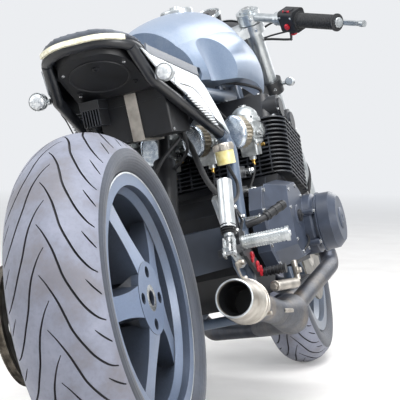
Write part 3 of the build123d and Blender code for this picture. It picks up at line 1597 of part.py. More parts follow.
# Front turn signals on the lower yoke
signal_level = lower_yoke_z + lower_yoke_thick / 2
front_signal_radius = 11
clamp_edge = fork_half + fork_tube + clamp_wall
with BuildPart() as front_indicators:
    for side in (-1, 1):
        root = head_frame.from_local_coords(Vector(fork_offset, side * clamp_edge, signal_level))
        with BuildSketch(Plane(origin=root, x_dir=(1, 0, 0), z_dir=(0, side, 0))):
            Circle(5)
        extrude(amount=20)
        with BuildSketch(Plane(origin=root + Vector(-16, side * 20, 0), x_dir=(0, 1, 0), z_dir=(1, 0, 0))):
            Circle(front_signal_radius)
        extrude(amount=26)
        fillet(front_indicators.faces(Select.LAST).sort_by(Axis.X)[0].edges(), 3)
front_indicators.part.label = "front_indicators"
fork_body.append(front_indicators)

# The parked machine's origin: middle of its footprint, on the ground
placed = (
    (chassis, standing),
    (fork_body, standing * steer_turn),
    (front_rolling, standing * steer_turn),
    (rear_rolling, standing),
    (stand_body, standing),
)
for pieces, place in placed:
    for piece in pieces:
        piece.part.move(place)
corners = [piece.part.bounding_box() for pieces, place in placed for piece in pieces]
middle_x = (min(box.min.X for box in corners) + max(box.max.X for box in corners)) / 2
middle_y = (min(box.min.Y for box in corners) + max(box.max.Y for box in corners)) / 2
to_origin = Location((-middle_x, -middle_y, 0))
for pieces, place in placed:
    for piece in pieces:
        piece.part.move(to_origin)
        export_step(piece.part, f"parts/{piece.part.label}.step")

parked = to_origin * standing
front_parked = to_origin * standing * steer_turn


def place_and_way(place, point, way):
    """A point and a direction of the upright machine, where they end up on the parked one."""
    start = (place * Location(point)).position
    return start, (place * Location(point + way)).position - start


for title, place, point, way in (
    ("rear axle", parked, rear_axle, Vector(0, 1, 0)),
    ("front axle", front_parked, front_axle, Vector(0, 1, 0)),
    ("steering axis", parked, head_frame.origin + head_up * top_yoke_z, head_up),
    ("stand pivot", parked, stand_pivot, stand_axis),
):
    print(title, *place_and_way(place, point, way))
print("stand range", stand_range, "lift", lift, "pitch", degrees(pitch))
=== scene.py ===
# %% [markdown]
# # A cafe racer, parked on its side stand
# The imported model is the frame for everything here. It is in metres, X points forwards along the
# motorcycle, Y to the rider's left and Z up. The machine leans to its left on the side stand and
# its front wheel is turned a little, so each piece below takes its place from the frame's own
# boxes and joints and not from a guess.

# %% Load the frame
import json
from math import asin, atan2, cos, pi, radians, sin, sqrt

import bmesh
import bpy
import numpy as np
from mathutils import Matrix, Vector


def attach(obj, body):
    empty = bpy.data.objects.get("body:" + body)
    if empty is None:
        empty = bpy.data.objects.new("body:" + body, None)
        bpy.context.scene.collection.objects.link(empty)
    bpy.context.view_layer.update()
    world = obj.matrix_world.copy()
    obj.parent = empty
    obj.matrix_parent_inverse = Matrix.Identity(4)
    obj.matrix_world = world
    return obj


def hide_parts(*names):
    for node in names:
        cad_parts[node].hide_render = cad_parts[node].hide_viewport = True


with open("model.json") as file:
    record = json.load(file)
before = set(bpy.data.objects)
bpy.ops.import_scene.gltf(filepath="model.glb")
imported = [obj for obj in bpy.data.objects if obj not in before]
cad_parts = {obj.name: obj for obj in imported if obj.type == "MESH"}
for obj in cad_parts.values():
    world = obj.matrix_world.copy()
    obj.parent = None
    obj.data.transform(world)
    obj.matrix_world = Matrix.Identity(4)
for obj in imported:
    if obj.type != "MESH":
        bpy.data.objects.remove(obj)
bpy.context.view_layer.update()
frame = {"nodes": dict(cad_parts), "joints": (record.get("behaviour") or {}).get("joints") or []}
nodes = frame["nodes"]
joints = {joint["name"]: joint for joint in frame["joints"]}

# %% [markdown]
# ## Axes of the leaning machine
# A leaning motorcycle is easiest to detail in its own upright axes. The rear axle gives the way
# to the left, the steering axis gives the way the machine points, and what is square to both is
# up. One matrix then takes a point in the upright machine, in millimetres from the rear axle's
# ground point, to the parked one.

# %% Upright axes and their matrix
MM = 0.001
REAR_RADIUS = 315 * MM
rear_joint = joints["rear_wheel_spin"]
front_joint = joints["front_wheel_spin"]
steer_joint = joints["steering"]
left_way = Vector(rear_joint["axis"]).normalized()
rear_centre = Vector(rear_joint["pos_m"])
front_centre = Vector(front_joint["pos_m"])
steer_way = Vector(steer_joint["axis"]).normalized()
RAKE = radians(26)
back_way = (steer_way - left_way * steer_way.dot(left_way)).normalized()
ahead_way = (left_way.cross(back_way) * cos(RAKE) - back_way * sin(RAKE)).normalized()
up_way = ahead_way.cross(left_way).normalized()
upright = Matrix((ahead_way, left_way, up_way)).transposed()
ground_point = rear_centre - up_way * REAR_RADIUS
print("ahead", [round(v, 4) for v in ahead_way], "up", [round(v, 4) for v in up_way])


def parked(x, y, z):
    """A point of the upright machine, in millimetres from under the rear axle, in the parked frame."""
    return ground_point + upright @ (Vector((x, y, z)) * MM)


def parked_line(points):
    """The same for a row of (x, y, z) points."""
    return [parked(*point) for point in points]


# %% [markdown]
# ## Colours and nodes
# Colours are written as the sRGB hex values a paint chart would give, and one function turns them
# linear. One small function adds any shader node with its settings and its links, so a material
# reads as a list of what feeds what.


# %% Colour and node helpers
def linear(hex_colour):
    """An sRGB hex colour as linear red, green, blue and alpha."""
    channels = [int(hex_colour[i : i + 2], 16) / 255 for i in (1, 3, 5)]
    return [c / 12.92 if c <= 0.04045 else ((c + 0.055) / 1.055) ** 2.4 for c in channels] + [1]


def add_node(tree, kind, inputs=None, output=0, stops=None, **settings):
    """Adds a node with its settings, inputs and colour stops, and gives one of its outputs.

    An input, by its place or name, is a socket to link, a number, a vector or a hex colour.
    """
    made = tree.nodes.new(kind)
    for name, value in settings.items():
        setattr(made, name, value)
    for place, value in (inputs or {}).items():
        if isinstance(value, bpy.types.NodeSocket):
            tree.links.new(value, made.inputs[place])
        else:
            made.inputs[place].default_value = linear(value) if isinstance(value, str) else value
    if stops:
        elements = made.color_ramp.elements
        elements[0].position, elements[1].position = stops[0][0], stops[-1][0]
        for place, colour in stops[1:-1]:
            elements.new(place)
        for element, (place, colour) in zip(elements, stops):
            element.color = linear(colour)
    return made.outputs[output] if made.outputs else None


def new_material(name):
    """A material with an empty tree, and the place of its points for patterns."""
    made = bpy.data.materials.new(name)
    made.use_nodes = True
    tree = made.node_tree
    tree.nodes.clear()
    return made, tree, add_node(tree, "ShaderNodeTexCoord", output="Object")


def show(tree, inputs):
    """Ends a material: one Principled shader with these inputs, on the surface."""
    shader = add_node(tree, "ShaderNodeBsdfPrincipled", inputs)
    add_node(tree, "ShaderNodeOutputMaterial", {"Surface": shader})


def along(tree, place, way):
    """How much of a socket's vector lies along a direction, in millimetres."""
    metres = add_node(tree, "ShaderNodeVectorMath", {0: place, 1: way}, "Value", operation="DOT_PRODUCT")
    return add_node(tree, "ShaderNodeMath", {0: metres, 1: 1 / MM}, operation="MULTIPLY")


# %% [markdown]
# ## Worn edges
# Paint and black enamel wear off first where a hand or a boot rubs an edge, and bare alloy gets
# polished there. A bevel node looks round the corner of each edge: where its normal leaves the
# true one, the surface is an edge, and that mask brightens the colour a little. A map range node
# takes a value, the range that it has and the range that it gets, as inputs 0 to 4.


# %% Edge mask
def edge_mask(tree, width_mm):
    """1 on the edges of the mesh, fading to 0 over the width given."""
    rounded = add_node(tree, "ShaderNodeBevel", {"Radius": width_mm * MM}, samples=4)
    true_normal = add_node(tree, "ShaderNodeNewGeometry", output="Normal")
    both = {0: rounded, 1: true_normal}
    same = add_node(tree, "ShaderNodeVectorMath", both, "Value", operation="DOT_PRODUCT")
    return add_node(tree, "ShaderNodeMapRange", {0: same, 1: 0.75, 2: 0.99, 3: 1.0, 4: 0.0})


# %% [markdown]
# ## Finishes with no pattern of their own
# Paint, cast alloy and moulded plastic look plain from afar, but none is one flat colour. Dust
# and handling shift the tone a little over a few centimetres, and the surface has a fine grain
# that breaks up reflections. One maker gives each of these finishes those two layers at its own
# real sizes, with the worn edges on top, and named materials are then a line each. A mix node for
# colours takes its share as input 0 and its colours as 6 and 7, and gives output 2.


# %% A surface with a tone that drifts, a fine grain and worn edges
EDGE_WIDTH_MM = 1.6


def grained(name, light, dark, edge, metallic, roughness, drift_mm, grain_mm, grain_height_mm, coat, sheen):
    """light and dark are the hex ends of the tone, and drift_mm is how far apart its patches are."""
    made, tree, place = new_material(name)
    patches = {"Vector": place, "Scale": 1 / (drift_mm * MM), "Detail": 4.0}
    drift = add_node(tree, "ShaderNodeTexNoise", patches)
    specks = {"Vector": place, "Scale": 1 / (grain_mm * MM), "Detail": 2.0}
    grain = add_node(tree, "ShaderNodeTexNoise", specks)
    tone = add_node(tree, "ShaderNodeValToRGB", {0: drift}, stops=[(0.35, dark), (0.65, light)])
    if edge:
        share = add_node(tree, "ShaderNodeMapRange", {0: drift, 1: 0.35, 2: 0.6, 3: 0.2, 4: 0.9})
        both = {0: edge_mask(tree, EDGE_WIDTH_MM), 1: share}
        rubbed = add_node(tree, "ShaderNodeMath", both, operation="MULTIPLY")
        tone = add_node(tree, "ShaderNodeMix", {0: rubbed, 6: tone, 7: edge}, 2, data_type="RGBA")
    gloss = {0: drift, 3: roughness - 0.06, 4: roughness + 0.06}
    bump = {"Height": grain, "Strength": 0.6, "Distance": grain_height_mm * MM}
    show(tree, {
        "Base Color": tone,
        "Roughness": add_node(tree, "ShaderNodeMapRange", gloss),
        "Normal": add_node(tree, "ShaderNodeBump", bump),
        "Metallic": metallic,
        "Coat Weight": coat,
        "Coat Roughness": 0.25,
        "Sheen Weight": sheen,
    })
    return made


# %% Plain finishes of the machine
# name: light, dark, worn edge, metallic, roughness, drift_mm, grain_mm, grain_height_mm, coat, sheen
FINISHES = {
    # Sprayed paint: a satin lacquer gives soft highlights along every tube
    "satin_frame_paint": ("#5f6d80", "#495669", "#a4afbd", 0.1, 0.34, 60, 1.2, 0.02, 0.3, 0.0),
    "black_tube_paint": ("#1a1d23", "#101216", "#4c525c", 0.0, 0.38, 60, 1.2, 0.02, 0.2, 0.0),
    "graphite_arm_paint": ("#353d4a", "#262c37", "#5b6573", 0.0, 0.40, 80, 1.4, 0.02, 0.15, 0.0),
    # Baked enamel on rough castings: matt, with a fine grain, and grey where the fins' edges are rubbed
    "black_engine_enamel": ("#17191e", "#0c0d10", "#59606c", 0.0, 0.46, 40, 1.5, 0.05, 0.1, 0.0),
    "graphite_cover_enamel": ("#3f4757", "#2f3644", "#8a95a6", 0.1, 0.40, 50, 1.6, 0.05, 0.15, 0.0),
    # Bare die-cast and turned aluminium: the cast is mottled and dull, the turned is even and brighter
    "cast_carburettor_alloy": ("#c3c7c8", "#8d9293", "#e6e9ea", 0.7, 0.40, 14, 1.2, 0.08, 0.0, 0.0),
    "satin_machined_alloy": ("#cdd1d3", "#adb3b6", "#eef0f1", 0.8, 0.30, 25, 0.8, 0.02, 0.0, 0.0),
    # Plated, brushed, drilled and oiled steel, from the brightest to the darkest
    "bright_bolt_steel": ("#d3d5d6", "#a2a5a6", "#f2f3f3", 0.9, 0.25, 8, 0.8, 0.01, 0.0, 0.0),
    "brushed_stainless_steel": ("#bdb7ae", "#98928a", "#dcd8d2", 0.85, 0.36, 25, 0.6, 0.02, 0.0, 0.0),
    "drilled_disc_steel": ("#9b978f", "#736e66", "#c9c6c0", 0.85, 0.38, 25, 0.6, 0.02, 0.0, 0.0),
    "oiled_chain_steel": ("#6d665c", "#38332d", "#a39c91", 0.8, 0.42, 15, 0.8, 0.03, 0.0, 0.0),
    # Moulded plastic and rubber: matt, with a fine grain, and one jar that has yellowed with age
    "moulded_black_plastic": ("#13151a", "#0a0b0e", "#2b2f36", 0.0, 0.50, 30, 1.1, 0.08, 0.0, 0.0),
    "soft_black_rubber": ("#17191e", "#0d0e11", None, 0.0, 0.62, 20, 1.0, 0.10, 0.0, 0.1),
    # Near-black rubber for the groove walls: painted shade in the tread's hollows
    "groove_shade_rubber": ("#2c2a31", "#1f1e23", None, 0.0, 0.70, 40, 1.6, 0.04, 0.0, 0.0),
    "yellowed_reservoir_plastic": ("#e9dfa6", "#d6c678", "#f5efcf", 0.0, 0.30, 10, 0.8, 0.01, 0.1, 0.0),
    # Glass and acrylic: smooth, so that they mirror the light
    "dark_gauge_glass": ("#101215", "#08090b", None, 0.0, 0.12, 20, 0.8, 0.0, 0.5, 0.0),
    "white_diode_lens": ("#f2efd9", "#d9d3b4", "#fbfaf2", 0.0, 0.20, 6, 0.8, 0.0, 0.3, 0.0),
    "silvered_lamp_lens": ("#eceff1", "#c3c9ce", "#ffffff", 0.35, 0.18, 7, 0.8, 0.01, 0.4, 0.0),
    # Small trim: gloss white paint, dyed anodised aluminium, and brass
    "white_panel_paint_plain": ("#e3e8ec", "#c9d0d6", "#ffffff", 0.0, 0.34, 60, 1.2, 0.01, 0.2, 0.0),
    "red_anodised_alloy": ("#d11f30", "#a01020", "#f0606c", 0.3, 0.30, 8, 0.8, 0.0, 0.2, 0.0),
    "brass_jet": ("#c9a45a", "#9d7a35", "#e8cf94", 0.9, 0.30, 8, 0.8, 0.01, 0.0, 0.0),
}
finishes = {name: grained(name, *row) for name, row in FINISHES.items()}
print("plain finishes", len(finishes))

# %% [markdown]
# ## Paint with flakes
# The tank and the wheels are painted with fine metal flakes under a satin lacquer. The flakes are
# about a fifth of a millimetre, too fine for this picture, so they are drawn at about one
# millimetre. Each tilts its own way, which a small voronoi shift of the tone stands for, and the
# lacquer on top gives the wide soft highlights along the tank's creases. Painted shade darkens the
# deep parts of the rear wheel, and ambient occlusion finds those without a mask being drawn.


# %% Flake paint
# Near-black of the painted shade in the rear wheel's hollows
PAINTED_SHADE_COLOUR = "#14161b"
FLAKE_MM = 1.0


def flake_paint(name, light, dark, dust, roughness, metallic, coat, painted_shade_reach_mm):
    """Satin paint with metal flakes and dust. Where it has a reach, painted shade darkens the hollows."""
    made, tree, place = new_material(name)
    flakes = add_node(tree, "ShaderNodeTexVoronoi", {"Vector": place, "Scale": 1 / (FLAKE_MM * MM)})
    wide = {"Vector": place, "Scale": 1 / (130 * MM), "Detail": 6.0}
    cloud = add_node(tree, "ShaderNodeTexNoise", wide)
    small = {"Vector": place, "Scale": 1 / (9 * MM), "Detail": 3.0}
    fine = add_node(tree, "ShaderNodeTexNoise", small)
    tone = add_node(tree, "ShaderNodeValToRGB", {0: flakes}, stops=[(0.1, light), (0.75, dark)])
    clouds = add_node(tree, "ShaderNodeMapRange", {0: cloud, 1: 0.5, 2: 0.7})
    settled = add_node(tree, "ShaderNodeMath", {0: clouds, 1: fine}, operation="MULTIPLY")
    share = add_node(tree, "ShaderNodeMath", {0: settled, 1: 0.5}, operation="MULTIPLY")
    tone = add_node(tree, "ShaderNodeMix", {0: share, 6: tone, 7: dust}, 2, data_type="RGBA")
    # Painted shade: ambient occlusion darkens the hollows towards the near-black
    if painted_shade_reach_mm:
        reach = {"Distance": painted_shade_reach_mm * MM}
        open_sky = add_node(tree, "ShaderNodeAmbientOcclusion", reach, "AO", samples=6)
        hollow = {0: open_sky, 1: 0.35, 2: 0.92, 3: 0.96, 4: 0}
        painted_shade_mask = add_node(tree, "ShaderNodeMapRange", hollow)
        tone = add_node(tree, "ShaderNodeMix", {0: painted_shade_mask, 6: tone, 7: PAINTED_SHADE_COLOUR}, 2, data_type="RGBA")
    gloss = {0: cloud, 3: roughness - 0.04, 4: roughness + 0.08}
    show(tree, {
        "Base Color": tone,
        "Roughness": add_node(tree, "ShaderNodeMapRange", gloss),
        "Metallic": metallic,
        "Coat Weight": coat,
        "Coat Roughness": 0.22,
    })
    return made


# name: light, dark, dust, roughness, metallic, coat, how deep the painted shade reaches in millimetres
FLAKE_PAINTS = {
    "satin_tank_paint": ("#93a5be", "#768aa6", "#b7c0cc", 0.34, 0.35, 0.45, 0),
    "graphite_wheel_paint": ("#7786a0", "#5e6d86", "#605d59", 0.38, 0.25, 0.25, 260),
    "silver_wheel_paint": ("#8e97a4", "#737d8c", "#8b857d", 0.36, 0.4, 0.2, 0),
}
for name, row in FLAKE_PAINTS.items():
    finishes[name] = flake_paint(name, *row)
print("flake paints", len(FLAKE_PAINTS))

# %% [markdown]
# ## Tyre rubber
# A tyre that has done some road is grey with dust where it rolls, with brown smears in its darker
# patches, and its sidewall is darker with fine rings left by the mould, five millimetres apart.
# The tone comes from three sizes of noise. The rings come from the distance to the rear axle, so
# they are true rings on the rear tyre only. On the front one they are fine arcs, which are smaller
# than a pixel here.


# %% Tread and sidewall
def tyre_rubber(name, light, dark, stain, stained, ring_mm):
    """Rubber with road dust. Rings, where given, are the mould's lines round the axle."""
    made, tree, place = new_material(name)
    patches = {"Vector": place, "Scale": 1 / (90 * MM), "Detail": 6.0, "Roughness": 0.6}
    wide = add_node(tree, "ShaderNodeTexNoise", patches)
    spots = {"Vector": place, "Scale": 1 / (7 * MM), "Detail": 5.0}
    speck = add_node(tree, "ShaderNodeTexNoise", spots)
    fine = {"Vector": place, "Scale": 1 / (1.4 * MM), "Detail": 3.0}
    height = add_node(tree, "ShaderNodeTexNoise", fine)
    tone = add_node(tree, "ShaderNodeValToRGB", {0: wide}, stops=[(0.3, dark), (0.68, light)])
    low = add_node(tree, "ShaderNodeMapRange", {0: wide, 1: 0.36, 2: 0.5, 3: 1, 4: 0})
    smear = add_node(tree, "ShaderNodeMath", {0: low, 1: speck}, operation="MULTIPLY")
    share = add_node(tree, "ShaderNodeMath", {0: smear, 1: stained}, operation="MULTIPLY")
    tone = add_node(tree, "ShaderNodeMix", {0: share, 6: tone, 7: stain}, 2, data_type="RGBA")
    spotted = add_node(tree, "ShaderNodeMapRange", {0: speck, 1: 0.5, 2: 0.75, 3: 0, 4: 0.35})
    tone = add_node(tree, "ShaderNodeMix", {0: spotted, 6: tone, 7: dark}, 2, data_type="RGBA")
    if ring_mm:
        both = {0: place, 1: rear_centre}
        span = add_node(tree, "ShaderNodeVectorMath", both, "Value", operation="DISTANCE")
        turns = {0: span, 1: 2 * pi / (ring_mm * MM)}
        turned = add_node(tree, "ShaderNodeMath", turns, operation="MULTIPLY")
        rings = add_node(tree, "ShaderNodeMath", {0: turned}, operation="SINE")
        height = add_node(tree, "ShaderNodeMath", {0: height, 1: rings}, operation="ADD")
    bump = {"Height": height, "Strength": 0.5, "Distance": 0.25 * MM}
    show(tree, {
        "Base Color": tone,
        "Roughness": add_node(tree, "ShaderNodeMapRange", {0: speck, 3: 0.5, 4: 0.72}),
        "Normal": add_node(tree, "ShaderNodeBump", bump),
        "Sheen Weight": 0.15,
    })
    return made


# name: light, dark, stain, how much stain, distance between the rings in millimetres
TYRE_RUBBERS = {
    "worn_tyre_rubber": ("#888c9c", "#686c7a", "#746a64", 0.6, 0),
    "tyre_side_rubber": ("#3c424e", "#2b303a", "#4a4743", 0.3, 5),
}
for name, row in TYRE_RUBBERS.items():
    finishes[name] = tyre_rubber(name, *row)
print("tyre rubbers", len(TYRE_RUBBERS))

# %% [markdown]
# ## Seat leather
# The seat is grained leather. Each cell of the grain is about two millimetres across, with a dark
# crease between cells, which the voronoi distance to an edge gives. It is rubbed lighter in
# patches of a few centimetres.


# %% Leather
LEATHER_CELL_MM = 2.2
LEATHER_TONES = [(0.32, "#4a505a"), (0.6, "#5d636d"), (0.75, "#7b8088")]


def seat_leather():
    """Grey leather with a cell grain and rubbed light patches."""
    made, tree, place = new_material("grey_seat_leather")
    grain = {"Vector": place, "Scale": 1 / (LEATHER_CELL_MM * MM)}
    cells = add_node(tree, "ShaderNodeTexVoronoi", grain, feature="DISTANCE_TO_EDGE")
    patches = {"Vector": place, "Scale": 1 / (50 * MM), "Detail": 6.0}
    wide = add_node(tree, "ShaderNodeTexNoise", patches)
    tone = add_node(tree, "ShaderNodeValToRGB", {0: wide}, stops=LEATHER_TONES)
    crease = add_node(tree, "ShaderNodeMapRange", {0: cells, 1: 0, 2: 0.1, 3: 0.35, 4: 0})
    tone = add_node(tree, "ShaderNodeMix", {0: crease, 6: tone, 7: "#2f333a"}, 2, data_type="RGBA")
    bump = {"Height": cells, "Strength": 0.7, "Distance": 0.3 * MM}
    show(tree, {
        "Base Color": tone,
        "Roughness": add_node(tree, "ShaderNodeMapRange", {0: wide, 3: 0.42, 4: 0.6}),
        "Normal": add_node(tree, "ShaderNodeBump", bump),
        "Sheen Weight": 0.25,
    })
    return made


finishes["grey_seat_leather"] = seat_leather()


# %% [markdown]
# ## Pod filters
# A pod filter is one part with three finishes: a polished cap, a pleated wire gauze and a rubber
# neck. Its own lengths along the machine say where one ends and the next begins. The gauze's wires
# are half a millimetre apart, too fine here, so the shader draws a ridge every 2.5 millimetres.

# %% Pod filters
POD_CAP_X = 626
POD_NECK_X = 681
GAUZE_PITCH_MM = 2.5


def pod_filter():
    """Polished cap, gauze pleats and a rubber neck, told apart by the place along the machine."""
    made, tree, place = new_material("polished_cap_and_gauze")
    ahead = along(tree, place, ahead_way)
    zero = ground_point.dot(ahead_way) / MM
    is_cap = add_node(tree, "ShaderNodeMath", {0: ahead, 1: zero + POD_CAP_X}, operation="LESS_THAN")
    neck = {0: ahead, 1: zero + POD_NECK_X}
    is_neck = add_node(tree, "ShaderNodeMath", neck, operation="GREATER_THAN")
    spots = {"Vector": place, "Scale": 1 / (9 * MM), "Detail": 6.0}
    mottle = add_node(tree, "ShaderNodeTexNoise", spots)
    pitch = {0: ahead, 1: 2 * pi / GAUZE_PITCH_MM}
    turns = add_node(tree, "ShaderNodeMath", pitch, operation="MULTIPLY")
    wave = add_node(tree, "ShaderNodeMath", {0: turns}, operation="SINE")
    ridge = add_node(tree, "ShaderNodeMapRange", {0: wave, 1: -1, 2: 1})
    gauze = add_node(tree, "ShaderNodeValToRGB", {0: ridge}, stops=[(0.2, "#4b4437"), (0.8, "#b7ab92")])
    cap = add_node(tree, "ShaderNodeValToRGB", {0: mottle}, stops=[(0.35, "#a3b0bf"), (0.65, "#dfe7ee")])
    tone = add_node(tree, "ShaderNodeMix", {0: is_cap, 6: gauze, 7: cap}, 2, data_type="RGBA")
    tone = add_node(tree, "ShaderNodeMix", {0: is_neck, 6: tone, 7: "#1b1c1f"}, 2, data_type="RGBA")
    bump = {"Height": mottle, "Strength": 0.3, "Distance": 0.3 * MM}
    show(tree, {
        "Base Color": tone,
        "Metallic": add_node(tree, "ShaderNodeMath", {0: 0.9, 1: is_neck}, operation="SUBTRACT"),
        "Roughness": add_node(tree, "ShaderNodeMapRange", {0: is_cap, 3: 0.42, 4: 0.24}),
        "Normal": add_node(tree, "ShaderNodeBump", bump),
    })
    return made


finishes["polished_cap_and_gauze"] = pod_filter()


# %% [markdown]
# ## Exhaust steel
# The muffler was brushed while it turned, so its strokes run round it and only vary along its
# axis, and inside it is black with soot, which the distance to that axis tells. Header pipes are
# mild steel that has been hot, and have turned brown and blue in patches a hand wide.

# %% Muffler
PIPE_END = parked(345, -169.5, 248)
MUFFLER_WAY = (upright @ Vector((-1, 0.02, 0.2))).normalized()
SOOT_RADIUS_MM = 34.5
SOOT_FADE_MM = (118, 126)
STROKES_PER_MM = 1.3
MUFFLER_TONES = [(0.3, "#8d857a"), (0.55, "#b6b1a8"), (0.75, "#cfcbc4")]


def muffler_steel():
    """Steel brushed round its axis, with soot inside the outlet."""
    made, tree, place = new_material("brushed_muffler_steel")
    away = add_node(tree, "ShaderNodeVectorMath", {0: place, 1: PIPE_END}, operation="SUBTRACT")
    both = {0: away, 1: MUFFLER_WAY}
    square = add_node(tree, "ShaderNodeVectorMath", both, operation="CROSS_PRODUCT")
    radius = add_node(tree, "ShaderNodeVectorMath", {0: square}, "Value", operation="LENGTH")
    reach = along(tree, away, MUFFLER_WAY)
    bore = {0: radius, 1: SOOT_RADIUS_MM * MM}
    inside = add_node(tree, "ShaderNodeMath", bore, operation="LESS_THAN")
    fade = {0: reach, 1: SOOT_FADE_MM[0], 2: SOOT_FADE_MM[1], 3: 1, 4: 0}
    faded = add_node(tree, "ShaderNodeMapRange", fade)
    deep = add_node(tree, "ShaderNodeMath", {0: inside, 1: faded}, operation="MULTIPLY")
    steps = add_node(tree, "ShaderNodeMath", {0: reach, 1: STROKES_PER_MM}, operation="MULTIPLY")
    lines = {"W": steps, "Scale": 1.0, "Detail": 3.0}
    strokes = add_node(tree, "ShaderNodeTexNoise", lines, noise_dimensions="1D")
    patches = {"Vector": place, "Scale": 1 / (30 * MM), "Detail": 6.0}
    stain = add_node(tree, "ShaderNodeTexNoise", patches)
    tone = add_node(tree, "ShaderNodeValToRGB", {0: stain}, stops=MUFFLER_TONES)
    tone = add_node(tree, "ShaderNodeMix", {0: deep, 6: tone, 7: "#0c0d0f"}, 2, data_type="RGBA")
    bump = {"Height": strokes, "Strength": 0.35, "Distance": 0.15 * MM}
    show(tree, {
        "Base Color": tone,
        "Metallic": add_node(tree, "ShaderNodeMapRange", {0: deep, 3: 0.85, 4: 0.0}),
        "Roughness": add_node(tree, "ShaderNodeMapRange", {0: strokes, 3: 0.26, 4: 0.46}),
        "Normal": add_node(tree, "ShaderNodeBump", bump),
    })
    return made


finishes["brushed_muffler_steel"] = muffler_steel()


# %% Header pipes
HEADER_TONES = [(0.3, "#2c2d33"), (0.48, "#414651"), (0.6, "#565659"), (0.75, "#7a6f63")]


def header_steel():
    """Mild steel pipe that has been hot: dull blue-grey with brown and straw patches."""
    made, tree, place = new_material("heat_stained_header_steel")
    patches = {"Vector": place, "Scale": 1 / (70 * MM), "Detail": 5.0}
    wide = add_node(tree, "ShaderNodeTexNoise", patches)
    spots = {"Vector": place, "Scale": 1 / (5 * MM), "Detail": 5.0}
    fine = add_node(tree, "ShaderNodeTexNoise", spots)
    tone = add_node(tree, "ShaderNodeValToRGB", {0: wide}, stops=HEADER_TONES)
    rust = add_node(tree, "ShaderNodeMapRange", {0: fine, 1: 0.55, 2: 0.75, 3: 0, 4: 0.6})
    tone = add_node(tree, "ShaderNodeMix", {0: rust, 6: tone, 7: "#4a4038"}, 2, data_type="RGBA")
    bump = {"Height": fine, "Strength": 0.4, "Distance": 0.2 * MM}
    show(tree, {
        "Base Color": tone,
        "Metallic": 0.6,
        "Roughness": add_node(tree, "ShaderNodeMapRange", {0: fine, 3: 0.3, 4: 0.55}),
        "Normal": add_node(tree, "ShaderNodeBump", bump),
    })
    return made


finishes["heat_stained_header_steel"] = header_steel()


# %% [markdown]
# ## Two-sided panel
# The side panels are white outside and black inside. Which side a point is on comes from its own
# normal against the machine's left, with the sign turned round on the right half.


# %% Panel paint
def panel_paint():
    """White paint outwards, black inwards."""
    made, tree, place = new_material("white_panel_paint")
    normal = add_node(tree, "ShaderNodeNewGeometry", output="True Normal")
    both = {0: normal, 1: left_way}
    facing = add_node(tree, "ShaderNodeVectorMath", both, "Value", operation="DOT_PRODUCT")
    middle = {0: along(tree, place, left_way), 1: ground_point.dot(left_way) / MM}
    leftwards = add_node(tree, "ShaderNodeMath", middle, operation="SUBTRACT")
    side = add_node(tree, "ShaderNodeMath", {0: leftwards}, operation="SIGN")
    outward = add_node(tree, "ShaderNodeMath", {0: facing, 1: side}, operation="MULTIPLY")
    inward = add_node(tree, "ShaderNodeMath", {0: outward, 1: -0.5}, operation="LESS_THAN")
    patches = {"Vector": place, "Scale": 1 / (60 * MM), "Detail": 6.0}
    dust = add_node(tree, "ShaderNodeTexNoise", patches)
    tone = add_node(tree, "ShaderNodeValToRGB", {0: dust}, stops=[(0.3, "#c9d0d6"), (0.6, "#e3e8ec")])
    tone = add_node(tree, "ShaderNodeMix", {0: inward, 6: tone, 7: "#141518"}, 2, data_type="RGBA")
    show(tree, {
        "Base Color": tone,
        "Roughness": add_node(tree, "ShaderNodeMapRange", {0: dust, 3: 0.28, 4: 0.42}),
        "Coat Weight": 0.2,
    })
    return made


finishes["white_panel_paint"] = panel_paint()


# %% [markdown]
# ## Two yokes in one node
# The lower yoke is enamelled black and the upper one is bare machined alloy. They are one solid in
# the model, joined by the steering stem, so the height along the steering axis tells them apart.

# %% Yoke enamel and alloy
YOKE_CHANGE_MM = 850
AXIS_FOOT = 1580


def yoke_finish():
    """Black enamel below a height along the steering axis, and bare alloy above it."""
    made, tree, place = new_material("black_and_bare_yokes")
    foot = parked(AXIS_FOOT, 0, 0).dot(steer_way) / MM
    change = {0: along(tree, place, steer_way), 1: foot + YOKE_CHANGE_MM}
    upper = add_node(tree, "ShaderNodeMath", change, operation="GREATER_THAN")
    patches = {"Vector": place, "Scale": 1 / (25 * MM), "Detail": 4.0}
    mottle = add_node(tree, "ShaderNodeTexNoise", patches)
    alloy = add_node(tree, "ShaderNodeValToRGB", {0: mottle}, stops=[(0.35, "#b3b8bc"), (0.65, "#d5d9db")])
    enamel = add_node(tree, "ShaderNodeValToRGB", {0: mottle}, stops=[(0.35, "#17181b"), (0.65, "#26282c")])
    tone = add_node(tree, "ShaderNodeMix", {0: upper, 6: enamel, 7: alloy}, 2, data_type="RGBA")
    show(tree, {
        "Base Color": tone,
        "Metallic": add_node(tree, "ShaderNodeMath", {0: upper, 1: 0.8}, operation="MULTIPLY"),
        "Roughness": add_node(tree, "ShaderNodeMapRange", {0: mottle, 3: 0.26, 4: 0.42}),
    })
    return made


finishes["black_and_bare_yokes"] = yoke_finish()

# %% [markdown]
# ## Which piece wears which finish
# A CAD node keeps its own mesh and takes a finish by its name. A table keeps that readable: it
# shows at one glance what is painted, what is cast and what is machined.

